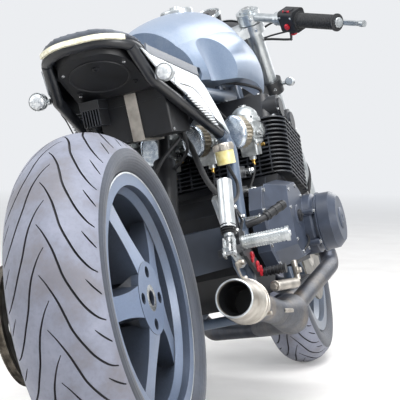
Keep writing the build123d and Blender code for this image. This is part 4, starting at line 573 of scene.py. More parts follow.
# %% Finishes for the CAD nodes
FINISH_NODES = {
    "satin_frame_paint": ["frame", "side_stand"],
    "black_tube_paint": ["subframe"],
    "graphite_arm_paint": ["swingarm"],
    "black_engine_enamel": [
        "crankcase", "cylinders", "cam_cover", "regulator", "shock_absorber", "rear_caliper",
        "brake_pedal", "shift_lever", "front_calipers", "headlight",
    ],
    "graphite_cover_enamel": ["engine_covers"],
    "cast_carburettor_alloy": ["carburettors"],
    "polished_cap_and_gauze": ["air_filters"],
    "heat_stained_header_steel": ["exhaust_headers"],
    "brushed_muffler_steel": ["muffler"],
    "satin_tank_paint": ["tank"],
    "grey_seat_leather": ["seat"],
    "satin_machined_alloy": [
        "tank_cap", "rear_indicators", "footrests", "rear_master_cylinder", "fork_legs",
        "handlebars", "levers", "front_indicators", "rear_spindle",
    ],
    "moulded_black_plastic": ["tail_tray", "battery_box", "switchgear", "gauge"],
    "brushed_stainless_steel": ["battery_strap"],
    "white_diode_lens": ["tail_light"],
    "white_panel_paint": ["side_panels"],
    "oiled_chain_steel": ["chain"],
    "yellowed_reservoir_plastic": ["rear_reservoir"],
    "black_and_bare_yokes": ["yokes"],
    "soft_black_rubber": ["grips"],
    "silvered_lamp_lens": ["headlight_lens"],
    "worn_tyre_rubber": ["front_tyre", "rear_tyre"],
    "silver_wheel_paint": ["front_wheel"],
    "drilled_disc_steel": ["front_discs", "rear_disc", "rear_sprocket"],
    "graphite_wheel_paint": ["rear_wheel"],
}


def wear(piece, finish):
    """A piece shows one finish all over."""
    piece.data.materials.clear()
    piece.data.materials.append(finishes[finish])


for finish, names in FINISH_NODES.items():
    for name in names:
        wear(nodes[name], finish)
print("CAD nodes with a finish", sum(len(names) for names in FINISH_NODES.values()), "of", len(nodes))


# %% [markdown]
# ## Axes of the front end
# The fork, the bars and the front wheel turn together about the steering axis. Their small parts
# are placed in the fork's own axes, which the steering joint and the front wheel's axle give, so
# that a part drawn straight on the fork is also straight when the bars are turned.

# %% Axes of the fork
fork_left = Vector(front_joint["axis"]).normalized()
fork_ahead = fork_left.cross(steer_way).normalized()
fork_axes = Matrix((fork_ahead, fork_left, steer_way)).transposed()


def forked(x, y, z):
    """A point of the front end in millimetres: ahead of its axis, to its left and up along it."""
    return parked(AXIS_FOOT, 0, 0) + fork_axes @ (Vector((x, y, z)) * MM)


print("fork left", [round(v, 4) for v in fork_left], "fork ahead", [round(v, 4) for v in fork_ahead])

# %% [markdown]
# ## Turned parts
# Almost every small part of a motorcycle is a turned part, a bent rod or a bolt. A turned part is
# what a lathe makes: a profile of distances from an axis, carried once round it. It needs no
# modifier, so its edges fall exactly where the profile has its points.


# %% Turning a profile
def square_to(way):
    """Two unit vectors square to a direction and to each other."""
    helper = up_way if abs(way.dot(up_way)) < 0.9 else ahead_way
    first = way.cross(helper).normalized()
    return first, way.cross(first).normalized()


def turn_profile(bm, centre, axis, profile, segments, closed=False, finish_index=0):
    """Turns (radius, distance along the axis) points, in millimetres, round an axis."""
    first, second = square_to(axis)
    rings = []
    for radius, reach in profile:
        middle = centre + axis * reach * MM
        if radius <= 0:
            rings.append([bm.verts.new(middle)])
            continue
        ring = []
        for step in range(segments):
            angle = 2 * pi * step / segments
            ring.append(bm.verts.new(middle + (first * cos(angle) + second * sin(angle)) * radius * MM))
        rings.append(ring)
    pairs = list(zip(rings, rings[1:]))
    if closed:
        pairs.append((rings[-1], rings[0]))
    for low, high in pairs:
        for step in range(segments):
            after = (step + 1) % segments
            corners = [low[step % len(low)], low[after % len(low)]]
            corners += [high[after % len(high)], high[step % len(high)]]
            face = bm.faces.new(list(dict.fromkeys(corners)))
            face.material_index = finish_index
            face.smooth = True


# %% [markdown]
# ## Swept parts
# A hose, a strap or a painted line is one section carried along a line. The section is kept from
# twisting by turning it only as much as the line itself turns, and a smooth curve through a few
# points gives the line.


# %% Sweeping a section
def smooth_line(points, steps=6):
    """Points of a smooth curve through the given ones, a Catmull-Rom spline."""
    ends = [points[0] * 2 - points[1], *points, points[-1] * 2 - points[-2]]
    line = []
    for a, b, c, d in zip(ends, ends[1:], ends[2:], ends[3:]):
        for step in range(steps):
            t = step / steps
            pull = 2 * a - 5 * b + 4 * c - d
            bend = 3 * b - a - 3 * c + d
            line.append(0.5 * (2 * b + (c - a) * t + pull * t**2 + bend * t**3))
    return [*line, points[-1]]


def sweep(bm, line, sections, finish_index=0, side_hint=None):
    """Carries one section, or one per point, along a line. Its points are (across, up) millimetres."""
    if not isinstance(sections[0][0], (list, tuple)):
        sections = [sections] * len(line)
    rings = []
    side = side_hint
    for place, spot in enumerate(line):
        ahead = (line[min(place + 1, len(line) - 1)] - line[max(place - 1, 0)]).normalized()
        if side is None:
            side = square_to(ahead)[0]
        side = (side - ahead * side.dot(ahead)).normalized()
        up = side.cross(ahead)
        ring = []
        for across, rise in sections[place]:
            ring.append(bm.verts.new(spot + (side * across + up * rise) * MM))
        rings.append(ring)
    count = len(rings[0])
    for low, high in zip(rings, rings[1:]):
        for step in range(count):
            after = (step + 1) % count
            face = bm.faces.new((low[step], low[after], high[after], high[step]))
            face.material_index = finish_index
            face.smooth = True
    for ring in (list(reversed(rings[0])), rings[-1]):
        bm.faces.new(ring).material_index = finish_index


def round_section(radius, sides=12):
    """A circle as (across, up) points."""
    return [(radius * cos(2 * pi * i / sides), radius * sin(2 * pi * i / sides)) for i in range(sides)]


def box_section(half_across, half_up):
    """A rectangle as (across, up) points."""
    corners = [(-half_across, -half_up), (half_across, -half_up)]
    return [*corners, (half_across, half_up), (-half_across, half_up)]


# %% [markdown]
# ## Bars, bolts and hoses
# These four are what a box of spares holds: a bar with softened ends, a hexagon bolt with a
# chamfer and perhaps a washer, a round socket screw with its hollow, and a hose.


# %% Standard parts
def rod(bm, start, end, radius, sides=20, soften=0.8):
    """A round bar between two points, its ends a little rounded."""
    axis = (end - start).normalized()
    length = (end - start).length / MM
    soften = min(soften, radius / 2, length / 2)
    profile = [(0, 0), (radius - soften, 0), (radius, soften), (radius, length - soften)]
    profile += [(radius - soften, length), (0, length)]
    turn_profile(bm, start, axis, profile, sides)


WASHER_HEIGHT = 1.4


def bolt(bm, place, way, across, height, washer=0.0):
    """A hexagon bolt head with a chamfer, standing on a washer where one is given."""
    half = across / 2
    if washer:
        disc = [(0, 0), (washer, 0), (washer, WASHER_HEIGHT), (0, WASHER_HEIGHT)]
        turn_profile(bm, place, way, disc, 20)
    foot = WASHER_HEIGHT if washer else 0
    profile = [(half, foot), (half, foot + height * 0.8), (half * 0.82, foot + height), (0, foot + height)]
    turn_profile(bm, place, way, profile, 6)


def cap_screw(bm, place, way, radius, height):
    """A round socket head with its hollow."""
    profile = [(radius, 0), (radius, height * 0.85), (radius * 0.85, height), (radius * 0.5, height)]
    profile += [(radius * 0.5, height * 0.4), (0, height * 0.4)]
    turn_profile(bm, place, way, profile, 18)


def hose(bm, points, radius):
    """A round hose or cable through the given points."""
    sweep(bm, smooth_line(points), round_section(radius))


# %% [markdown]
# ## Adding a piece
# Each finished mesh becomes one named object, with its finish and the body that it rides on. Faces
# are smooth, and edges sharper than the crease angle stay crisp.


# %% Pieces on their bodies
def add_piece(name, bm, finish_names, body, crease=35):
    """Turns a bmesh into a named object that rides on a body. Edges sharper than the crease stay crisp."""
    bmesh.ops.recalc_face_normals(bm, faces=bm.faces)
    mesh = bpy.data.meshes.new(name)
    bm.to_mesh(mesh)
    bm.free()
    mesh.set_sharp_from_angle(angle=radians(crease))
    for finish in [finish_names] if isinstance(finish_names, str) else finish_names:
        mesh.materials.append(finishes[finish])
    piece = bpy.data.objects.new(name, mesh)
    bpy.context.scene.collection.objects.link(piece)
    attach(piece, body)
    print(name, "faces", len(mesh.polygons))
    return piece


def final_mesh(piece):
    """A new mesh of the piece as its modifiers leave it."""
    bpy.context.view_layer.update()
    made = piece.evaluated_get(bpy.context.evaluated_depsgraph_get())
    return bpy.data.meshes.new_from_object(made)


# %% [markdown]
# ## Tyres
# A road tyre is a smooth carcass with grooves pressed into it by the mould. The grooves are long
# hooks that start thin near the middle and sweep back towards the shoulder, left and right half a
# pitch apart, with a short dash between them. The carcass is turned from its profile and the
# grooves are cut out of it as real hollows, because their dark walls are what the eye reads. Their
# walls take a near-black rubber, which is painted shade.
# Both tyres come from one function, and the front one's grooves are narrowed to its tread.

# %% Tread grooves and carcass
GROOVE_DEPTH = 4.2
PITCHES = 22
BEAD_RADIUS = 217.3
BEAD_INSET = 6.3
SIDE_FOOT_RADIUS = 229.3
TREAD_STEPS = 12
SIDE_STEPS = 9
# share of the groove's half width, and millimetres above the tread
GROOVE_BLADE = ((1, 2), (0.7, -GROOVE_DEPTH), (-0.7, -GROOVE_DEPTH), (-1, 2))
# angle behind the groove's start in degrees, place across the tread in millimetres
LONG_GROOVE = [(0, 6), (3.4, -6), (8.5, -19), (13.2, -27), (18, -34)]
LONG_GROOVE += [(23.3, -46), (28, -58), (32, -72), (33.7, -82)]
SHORT_GROOVE = [(3.2, -65), (6, -74), (8.6, -83)]


def carcass_profile(radius, crown, tread_half, half_width, rim_half):
    """The tyre's outline as (radius, across) points: left side, tread, right side and bead."""
    edge = radius - crown + sqrt(crown**2 - tread_half**2)
    bead_half = rim_half - BEAD_INSET
    tread = []
    for step in range(-TREAD_STEPS, TREAD_STEPS + 1):
        across = tread_half * step / TREAD_STEPS
        tread.append((radius - crown + sqrt(crown**2 - across**2), across))
    # The side is a circle's arc through its foot, its widest place and the edge of the tread
    side = []
    a = (bead_half, SIDE_FOOT_RADIUS)
    b = (half_width, (SIDE_FOOT_RADIUS + edge) / 2 + 4)
    c = (tread_half, edge)
    d = 2 * (a[0] * (b[1] - c[1]) + b[0] * (c[1] - a[1]) + c[0] * (a[1] - b[1]))
    sums = [p[0] ** 2 + p[1] ** 2 for p in (a, b, c)]
    ux = (sums[0] * (b[1] - c[1]) + sums[1] * (c[1] - a[1]) + sums[2] * (a[1] - b[1])) / d
    uy = (sums[0] * (c[0] - b[0]) + sums[1] * (a[0] - c[0]) + sums[2] * (b[0] - a[0])) / d
    arc = sqrt((a[0] - ux) ** 2 + (a[1] - uy) ** 2)
    start, end = atan2(c[1] - uy, c[0] - ux), atan2(a[1] - uy, a[0] - ux)
    for step in range(1, SIDE_STEPS + 1):
        angle = start + (end - start) * step / SIDE_STEPS
        side.append((uy + arc * sin(angle), ux + arc * cos(angle)))
    left_side = [(r, -y) for r, y in reversed(side)]
    bead = [(BEAD_RADIUS, bead_half), (BEAD_RADIUS, -bead_half)]
    return left_side, tread, side, bead


def groove_cutter(bm, centre, axis, up, surface, start_angle, points, mirror, width):
    """One groove as a closed blade along the tread, placed by its angle rearwards from the top."""
    front = axis.cross(up)
    line, outs = [], []
    fine = smooth_line([Vector((angle, across, 0)) for angle, across in points], 4)
    for spot in fine:
        angle = radians(start_angle + spot.x)
        across = -spot.y if mirror else spot.y
        ring_way = up * cos(angle) - front * sin(angle)
        radius, slope = surface(across)
        line.append(centre + ring_way * radius * MM + axis * across * MM)
        outs.append((ring_way * cos(slope) + axis * sin(slope)).normalized())
    rings = []
    for place, spot in enumerate(line):
        way = (line[min(place + 1, len(line) - 1)] - line[max(place - 1, 0)]).normalized()
        side = way.cross(outs[place]).normalized()
        share = place / (len(line) - 1)
        half = width / 2 * min(1, 0.35 + 2.2 * share, 0.5 + 3 * (1 - share))
        ring = []
        for spread, rise in GROOVE_BLADE:
            ring.append(bm.verts.new(spot + (side * (half * spread) + outs[place] * rise) * MM))
        rings.append(ring)
    for low, high in zip(rings, rings[1:]):
        for step in range(4):
            after = (step + 1) % 4
            bm.faces.new((low[step], low[after], high[after], high[step]))
    bm.faces.new(list(reversed(rings[0])))
    bm.faces.new(rings[-1])


def build_tyre(name, node, body, centre, axis, sizes, first_angle, scale, width):
    """Turns a carcass, cuts its grooves and lets it stand for the CAD tyre."""
    radius, crown, tread_half, half_width, rim_half = sizes
    left_side, tread, side, bead = carcass_profile(*sizes)
    profile = [*left_side, *tread, *side, *bead]
    bm = bmesh.new()
    turn_profile(bm, centre, axis, profile, PITCHES * 8, closed=True)
    for face in bm.faces:
        middle = face.calc_center_median() - centre
        across = middle.dot(axis) / MM
        out = (middle - axis * middle.dot(axis)).length / MM
        shoulder = radius - crown + sqrt(crown**2 - tread_half**2)
        face.material_index = 0 if out > shoulder - 0.2 and abs(across) < tread_half else 1
    rubbers = ["worn_tyre_rubber", "tyre_side_rubber", "groove_shade_rubber"]
    tyre = add_piece(name, bm, rubbers, body, 60)

    def surface(across):
        """The tread's radius and its slope in radians at a place across it."""
        inside = min(abs(across), crown * 0.97)
        slope = asin(across / crown) if abs(across) < crown else 0
        return radius - crown + sqrt(crown**2 - inside**2), slope

    cutter_bm = bmesh.new()
    step = 360 / PITCHES
    up = (up_way - axis * up_way.dot(axis)).normalized()
    for pitch in range(PITCHES):
        for mirror in (False, True):
            start = first_angle + pitch * step + (step * 0.49 if mirror else 0)
            for points, share in ((LONG_GROOVE, 1.0), (SHORT_GROOVE, 0.8)):
                scaled = [(angle, across * scale) for angle, across in points]
                groove_cutter(cutter_bm, centre, axis, up, surface, start, scaled, mirror, width * share)
    bmesh.ops.recalc_face_normals(cutter_bm, faces=cutter_bm.faces)
    cutter_mesh = bpy.data.meshes.new(name + "_grooves")
    cutter_bm.to_mesh(cutter_mesh)
    cutter_bm.free()
    # The cutter's faces give the groove walls the near-black rubber, painted shade in the hollows
    for _ in range(3):
        cutter_mesh.materials.append(finishes["groove_shade_rubber"])
    for polygon in cutter_mesh.polygons:
        polygon.material_index = 2
    cutter = bpy.data.objects.new(name + "_grooves", cutter_mesh)
    bpy.context.scene.collection.objects.link(cutter)
    cut = tyre.modifiers.new("grooves", "BOOLEAN")
    cut.operation = "DIFFERENCE"
    cut.object = cutter
    cut.solver = "EXACT"
    cut.use_self = True
    done = final_mesh(tyre)
    tyre.modifiers.clear()
    tyre.data = done
    bpy.data.objects.remove(cutter)
    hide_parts(node)
    print(name, "faces after cutting", len(done.polygons))


# radius, crown radius, half the tread, half the width, half the rim, as in the model
REAR_TYRE_SIZES = (315, 105, 86, 91, 77)
FRONT_TYRE_SIZES = (300, 70, 54, 60, 51)
FRONT_SCALE = FRONT_TYRE_SIZES[2] / REAR_TYRE_SIZES[2]
# The last three values of a call: angle of the first groove, scale across, width of a groove
build_tyre(
    "rear_treaded_tyre", "rear_tyre", "rear_wheel", rear_centre, left_way, REAR_TYRE_SIZES, 8.6, 1, 4.4
)
build_tyre(
    "front_treaded_tyre", "front_tyre", "front_wheel",
    front_centre, fork_left, FRONT_TYRE_SIZES, 3, FRONT_SCALE, 3.6,
)

# %% [markdown]
# ## Rear wheel fittings
# The wheel is held by nuts deep in its hub. A bright alloy ring on each rim edge, barely wider
# than the flange itself, is a painted highlight along the flange. A rubber valve stands inside the
# rim and two small weights balance it.

# %% Wheel nuts
right_way = -left_way
LUG_CIRCLE = 47
LUG_START = -5
NUT_FLOOR_Y = -42
FLANGE_RADIUS = 229
REAR_AXLE_Z = 315
RIM_HALF = 77
COLLAR = [(20, 0), (23, 0), (24, 1.2), (20, 1.6), (14.2, 1.2), (14.2, 0)]
bm = bmesh.new()
for place in range(4):
    angle = radians(LUG_START + 90 * place)
    foot = parked(LUG_CIRCLE * cos(angle), NUT_FLOOR_Y, REAR_AXLE_Z + LUG_CIRCLE * sin(angle))
    bolt(bm, foot, right_way, 17, 15, washer=10)
    rod(bm, foot, foot + right_way * 22 * MM, 5.5)
turn_profile(bm, parked(0, -RIM_HALF, REAR_AXLE_Z), right_way, COLLAR, 40)
add_piece("rear_wheel_nuts", bm, "bright_bolt_steel", "rear_wheel")

# %% Rim edges, a painted highlight
# A bright alloy ring on each rim edge: a painted highlight along the flange
FLANGE_HIGHLIGHT_RINGS = [(-3.5, 0.1), (-2.6, 0.7), (-0.4, 0.5), (0.1, -0.9)]
bm = bmesh.new()
for side in (-1, 1):
    profile = [(FLANGE_RADIUS + out, rise) for out, rise in FLANGE_HIGHLIGHT_RINGS]
    turn_profile(bm, parked(0, side * RIM_HALF, REAR_AXLE_Z), left_way * side, profile, 120)
add_piece("rear_rim_painted_highlights", bm, "satin_machined_alloy", "rear_wheel")

# %% Valve and balance weights
VALVE_PROFILE = [(7, -3), (7, 3), (4.4, 8), (3.8, 24), (4.4, 25), (4.4, 36), (3, 38), (0, 38)]
VALVE_DEGREES, VALVE_Y, VALVE_RADIUS = 128, -52, 204
WEIGHT_DEGREES, WEIGHT_Y, WEIGHT_RADIUS = (40, 47), -60, 208.6


def spoke_way(degrees):
    """The way out from the rear axle at an angle from straight ahead."""
    angle = radians(degrees)
    return (upright @ Vector((cos(angle), 0, sin(angle)))).normalized()


bm = bmesh.new()
valve_way = spoke_way(VALVE_DEGREES)
valve_foot = parked(0, VALVE_Y, REAR_AXLE_Z) + valve_way * VALVE_RADIUS * MM
turn_profile(bm, valve_foot, -valve_way, VALVE_PROFILE, 16)
add_piece("rear_valve", bm, "soft_black_rubber", "rear_wheel")

bm = bmesh.new()
for degrees in WEIGHT_DEGREES:
    out = spoke_way(degrees)
    across = left_way.cross(out)
    middle = parked(0, WEIGHT_Y, REAR_AXLE_Z) + out * WEIGHT_RADIUS * MM
    line = [middle + across * step * MM for step in (-9, -3, 3, 9)]
    sweep(bm, line, [(-9, -2), (9, -2), (8, 1), (-8, 1)], side_hint=left_way)
add_piece("rear_balance_weights", bm, "brushed_stainless_steel", "rear_wheel")

# %% [markdown]
# ## Seat pad
# The seat is a thin foam pad in leather, crowned across, pulled tight at its edges and rolled
# under the hoop. A cloth simulation with a little air pressure gives the pad the soft, slightly
# uneven fullness that a drawn surface never has. The rolled edge hugs the tube and is a separate
# bead, because a simulation would lose anything so thin.

# %% Pad block
HOOP = [(102, 806.3), (225, 763), (578, 726)]
SEAT_REAR, SEAT_FRONT, SEAT_HALF, SEAT_CORNER = 122, 556, 105, 87
PAD_FOOT, PAD_EDGE, PAD_CROWN = 11.6, 7, 19
PAD_STATIONS, PAD_TOP_STEPS, PAD_FLOOR_STEPS = 70, 32, 8
TANK_LINE = ((523, 838), (567, 719))


def hoop_line(x):
    """Height of the hoop's middle at a place along the machine."""
    (x0, z0), (x1, z1), (x2, z2) = HOOP
    if x < x1:
        return z0 + (z1 - z0) * (x - x0) / (x1 - x0)
    return z1 + (z2 - z1) * (x - x1) / (x2 - x1)


def seat_width(x):
    """Half the seat's width at a place along the machine, rounded at the tail."""
    inside = min(max(x - SEAT_REAR, 0), SEAT_CORNER)
    return SEAT_HALF - SEAT_CORNER + sqrt(SEAT_CORNER**2 - (SEAT_CORNER - inside) ** 2)


def seat_front(z):
    """Where the tank's rear face is at a height."""
    (x0, z0), (x1, z1) = TANK_LINE
    return x0 + (z0 - z) * (x1 - x0) / (z0 - z1)


def pad_block(shrink):
    """The pad as a closed block of rings across it, smaller all round by a few millimetres."""
    bm = bmesh.new()
    rings = []
    for step in range(PAD_STATIONS + 1):
        share = (step / PAD_STATIONS) ** 1.25
        nominal = SEAT_REAR + shrink + share * (SEAT_FRONT - shrink - SEAT_REAR)
        half = max(seat_width(nominal) - shrink, 6)
        base = hoop_line(nominal) + PAD_FOOT
        ring = []
        for place in range(PAD_TOP_STEPS + 1):
            across = -half + 2 * half * place / PAD_TOP_STEPS
            crown = PAD_EDGE + (PAD_CROWN - PAD_EDGE) * (1 - (across / SEAT_HALF) ** 2)
            inset = half - abs(across)
            crown -= max(0, 5 - inset) * 0.5
            ring.append((across, base + crown - shrink))
        for place in range(PAD_FLOOR_STEPS + 1):
            across = half - 2 * half * place / PAD_FLOOR_STEPS
            ring.append((across * 0.985, base + 0.4))
        made = []
        for across, height in ring:
            slide = share * (seat_front(height) - 2 - shrink - (SEAT_FRONT - shrink))
            made.append(bm.verts.new(parked(nominal + slide, across, height)))
        rings.append(made)
    count = len(rings[0])
    for low, high in zip(rings, rings[1:]):
        for step in range(count):
            after = (step + 1) % count
            bm.faces.new((low[step], low[after], high[after], high[step]))
    bm.faces.new(list(reversed(rings[0])))
    bm.faces.new(rings[-1])
    bmesh.ops.recalc_face_normals(bm, faces=bm.faces)
    return bm


# %% [markdown]
# ## Air under the leather
# The block is remeshed evenly, then a cloth simulation pushes it out from inside for 20 frames. No
# point may move further than a few millimetres, so the pad stays on its seat.

# %% Swelling by cloth pressure
CLOTH_FRAMES = 20
SIM_SHRINK_MM = 2.5


def swell(piece, voxel_mm, pressure, most_mm):
    """Remeshes a piece, blows it up as cloth, and lets no point move further than the most given."""
    bpy.context.view_layer.objects.active = piece
    remesh = piece.modifiers.new("remesh", "REMESH")
    remesh.mode = "VOXEL"
    remesh.voxel_size = voxel_mm * MM
    even = final_mesh(piece)
    piece.modifiers.clear()
    piece.data = even
    before = [v.co.copy() for v in even.vertices]
    cloth = piece.modifiers.new("cloth", "CLOTH")
    cloth.settings.use_pressure = True
    cloth.settings.uniform_pressure_force = pressure
    cloth.settings.effector_weights.gravity = 0
    cloth.point_cache.frame_start = 1
    cloth.point_cache.frame_end = CLOTH_FRAMES
    for number in range(1, CLOTH_FRAMES + 1):
        bpy.context.scene.frame_set(number)
    made = piece.evaluated_get(bpy.context.evaluated_depsgraph_get())
    swollen = bpy.data.meshes.new_from_object(made)
    bpy.context.scene.frame_set(1)
    piece.modifiers.clear()
    piece.data = swollen
    for old, vertex in zip(before, swollen.vertices):
        move = vertex.co - old
        if move.length > most_mm * MM:
            vertex.co = old + move.normalized() * most_mm * MM


bm = pad_block(SIM_SHRINK_MM)
seat = add_piece("seat_pad", bm, "grey_seat_leather", "chassis", 80)
swell(seat, 4.5, 4.0, 3.5)
smoothing = seat.modifiers.new("soften", "SUBSURF")
smoothing.levels = 1
smoothing.render_levels = 1
seat.data.materials.clear()
seat.data.materials.append(finishes["grey_seat_leather"])
for polygon in seat.data.polygons:
    polygon.use_smooth = True
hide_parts("seat")
print("seat pad faces", len(seat.data.polygons))

# %% Rolled edge
ROLL_REAR, ROLL_HALF, ROLL_RISE, ROLL_STEPS = 212, 103.2, 4.6, 30
ROLL_SECTION = [(-1.7, -8.4), (1.7, -8.4), (1.9, 0), (1.9, 8), (0, 10), (-1.7, 8)]
bm = bmesh.new()
places = [SEAT_FRONT - (SEAT_FRONT - ROLL_REAR) * step / ROLL_STEPS for step in range(ROLL_STEPS + 1)]
for side in (-1, 1):
    line = [parked(x, side * ROLL_HALF, hoop_line(x) + ROLL_RISE) for x in places]
    sweep(bm, line, ROLL_SECTION, side_hint=left_way)
add_piece("seat_rolled_edge", bm, "grey_seat_leather", "chassis", 50)

# %% [markdown]
# ## Tail tray, battery and panels
# The tray under the seat is a vacuum-formed pan with a round pressed rib and two fixings, and the
# battery box hangs below it under a steel strap, with its leads and two hoses behind it.

# %% Tray rib and fixings
SLOPE_START, SLOPE_END = Vector((152, 0, 774)), Vector((288, 0, 701))
slope_way = (SLOPE_END - SLOPE_START).normalized()
slope_down = Vector((slope_way.z, 0, -slope_way.x))


def on_slope(distance, across, proud=0.0):
    """A point on the tray's sloping underside, by its distance down the slope."""
    spot = SLOPE_START + slope_way * distance + slope_down * proud
    return parked(spot.x, across, spot.z)


RIB_CENTRE, RIB_RADIUS, RIB_STEPS = 76, 54, 48
bm = bmesh.new()
rib = []
for step in range(RIB_STEPS + 1):
    angle = 2 * pi * step / RIB_STEPS
    rib.append(on_slope(RIB_CENTRE + RIB_RADIUS * cos(angle), (RIB_RADIUS + 4) * sin(angle), 0.2))
sweep(bm, rib, round_section(2.2, 8))
cap_screw(bm, on_slope(46, -4), upright @ slope_down, 6, 4)
for across in (-58, 58):
    cap_screw(bm, on_slope(118, across), upright @ slope_down, 5, 3)
add_piece("tail_tray_rib", bm, "moulded_black_plastic", "chassis")

bm = bmesh.new()
for across, reach in ((-62, 44), (62, 44), (60, 128)):
    cap_screw(bm, on_slope(reach, across), upright @ slope_down, 3.4, 2.4)
BOX_MIDDLE, BOX_HALF = -20, 72
BOX_RIGHT = BOX_MIDDLE - BOX_HALF
for x, z in ((328, 690), (452, 690), (328, 616), (452, 616)):
    cap_screw(bm, parked(x, BOX_RIGHT - 0.2, z), right_way, 3, 2)
cap_screw(bm, parked(324.6, BOX_MIDDLE, 628), -ahead_way, 4, 3)
add_piece("tail_fixings", bm, "bright_bolt_steel", "chassis")

# %% Battery leads
# radius, then the points along each lead
LEADS = [
    (3.2, [(330, 62, 690), (318, 66, 668), (322, 64, 640), (350, 60, 622), (400, 62, 640)]),
    (2.4, [(330, 70, 694), (310, 76, 676), (318, 78, 648), (352, 74, 634), (410, 70, 650)]),
    (3.4, [(456, -60, 668), (470, -64, 640), (480, -70, 600), (500, -60, 570), (520, -20, 540)]),
]
bm = bmesh.new()
for radius, points in LEADS:
    hose(bm, parked_line(points), radius)
add_piece("battery_leads", bm, "soft_black_rubber", "chassis")

# %% [markdown]
# ## Side panels
# Each white side panel has a louvred patch, fine pressed slats five and a half millimetres apart,
# inside a hand-painted black line that follows its edge. Thin black strips between the slats are
# painted shade in the gaps. The panels flare outwards and turn a little, so one function finds a
# point on them from its place along the machine and its height.

# %% Panel stripe
PANEL_FLARE, PANEL_TURN = 16.6, -2.1
PANEL_ORIGIN = Vector((200, 102.1, 766))


def on_panel(side, x, z, proud):
    """A point on one side panel, by its place along the machine and its height."""
    flare, turn = radians(side * PANEL_FLARE), radians(side * PANEL_TURN)
    out = side * (1.5 + proud)
    local_x = (x - PANEL_ORIGIN.x + out * sin(turn)) / cos(turn)
    turned = local_x * sin(turn) + out * cos(turn)
    local_z = (z - PANEL_ORIGIN.z - turned * sin(flare)) / cos(flare)
    return parked(x, side * PANEL_ORIGIN.y + turned * cos(flare) - local_z * sin(flare), z)


panel_out = {}
for side in (-1, 1):
    panel_out[side] = (on_panel(side, 300, 700, 10) - on_panel(side, 300, 700, 0)).normalized()
STRIPE_OUTER = [(331, 714), (303, 696), (340, 676), (408, 636), (470, 607), (532, 590)]
STRIPE_INNER = [(352, 700), (430, 695), (470, 682), (492, 652), (510, 616), (532, 590)]
STRIPE_SECTION = [(-1.3, -0.2), (1.3, -0.2), (1.1, 0.25), (-1.1, 0.25)]
bm = bmesh.new()
for side in (-1, 1):
    for points in (STRIPE_OUTER, STRIPE_INNER):
        line = smooth_line([on_panel(side, x, z, 0.15) for x, z in points], 5)
        sweep(bm, line, STRIPE_SECTION, side_hint=panel_out[side].cross(ahead_way))
add_piece("panel_stripes", bm, "moulded_black_plastic", "chassis")

# %% Panel slats
SLAT_PITCH = 5.5
INNER_FACE = -3.1
OUTER_SLAT = [(-1.5, -0.5), (1.5, -0.5), (0.6, 1.6), (-0.6, 1.0)]
INNER_SLAT = [(-1.0, -0.3), (1.0, -0.3), (1.0, 0.3), (-1.0, 0.3)]
# Thin black strip under each slat: painted shade in the gap between slats
SLAT_SHADE_SECTION = [(-1.0, -0.5), (1.0, -0.5), (1.0, 0.2), (-1.0, 0.2)]
# height, rear end and front end of the louvred patch
SLAT_ENDS = [(690, 362, 426), (676, 358, 458), (655, 392, 478), (632, 436, 490), (610, 482, 500)]


def patch_ends(z):
    """The rear and front end of the slats at a height."""
    for (z0, a0, b0), (z1, a1, b1) in zip(SLAT_ENDS, SLAT_ENDS[1:]):
        if z1 <= z <= z0:
            share = (z0 - z) / (z0 - z1)
            return a0 + (a1 - a0) * share, b0 + (b1 - b0) * share
    return SLAT_ENDS[-1][1:]


slats, shade_strips = bmesh.new(), bmesh.new()
for side in (-1, 1):
    z = SLAT_ENDS[0][0]
    while z > SLAT_ENDS[-1][0]:
        rear, front = patch_ends(z)
        places = [rear + (front - rear) * step / 6 for step in range(7)]
        line = [on_panel(side, x, z, 0) for x in places]
        across = panel_out[side].cross(ahead_way)
        sweep(slats, line, OUTER_SLAT, side_hint=across)
        low = [point - up_way * SLAT_PITCH * 0.5 * MM for point in line]
        sweep(shade_strips, low, SLAT_SHADE_SECTION, side_hint=across)
        inner = [on_panel(side, x, z, INNER_FACE) for x in places]
        sweep(slats, inner, INNER_SLAT, side_hint=across)
        z -= SLAT_PITCH
add_piece("panel_slats", slats, "white_panel_paint_plain", "chassis")
add_piece("panel_slat_painted_shade", shade_strips, "moulded_black_plastic", "chassis")

# %% [markdown]
# ## Rear turn signals
# Each round signal has a bright bezel and a clear lens over silvered glass. Both are turned round
# the signal's own axis, which points straight back, so one mesh with two finishes holds all four.

# %% Signal bezels and lenses
BEZEL = [(17.2, -6), (18, -5), (18, -2.5), (17.2, -1.5), (16.6, 0)]
LENS = [(15.4, -0.5), (15, 2.4), (12.5, 5.4), (8, 7.4), (0, 8.2)]
bm = bmesh.new()
for side in (-1, 1):
    middle = parked(206, side * 130, 718)
    turn_profile(bm, middle, -ahead_way, BEZEL, 36)
    turn_profile(bm, middle, -ahead_way, LENS, 36, finish_index=1)
signal_finishes = ["satin_machined_alloy", "silvered_lamp_lens"]
add_piece("rear_signal_lenses", bm, signal_finishes, "chassis")

# %% [markdown]
# ## Engine fittings
# An engine reads as one because of its small parts. Thin webs stop the fins ringing, nuts and
# screws hold the head, and four plug leads rise from it. They stand on the CAD castings, so their
# places are worked out in the cylinders' own leaning axes.

# %% Webs between the fins
CRANK = Vector((825, 0, 366))
CYLINDER_LEAN = radians(20)
ROWS = [-141, -47, 47, 141]
FIN_SIDE, FIN_BACK = 201, -90.5
WEB_FOOT, SIDE_WEB_TOP, BACK_WEB_TOP = 103, 238, 190


def on_barrel(across, y, rise):
    """A point by the cylinders' own axes: square to them, to the left, and up along them."""
    x = CRANK.x + across * cos(CYLINDER_LEAN) + rise * sin(CYLINDER_LEAN)
    return parked(x, y, CRANK.z - across * sin(CYLINDER_LEAN) + rise * cos(CYLINDER_LEAN))


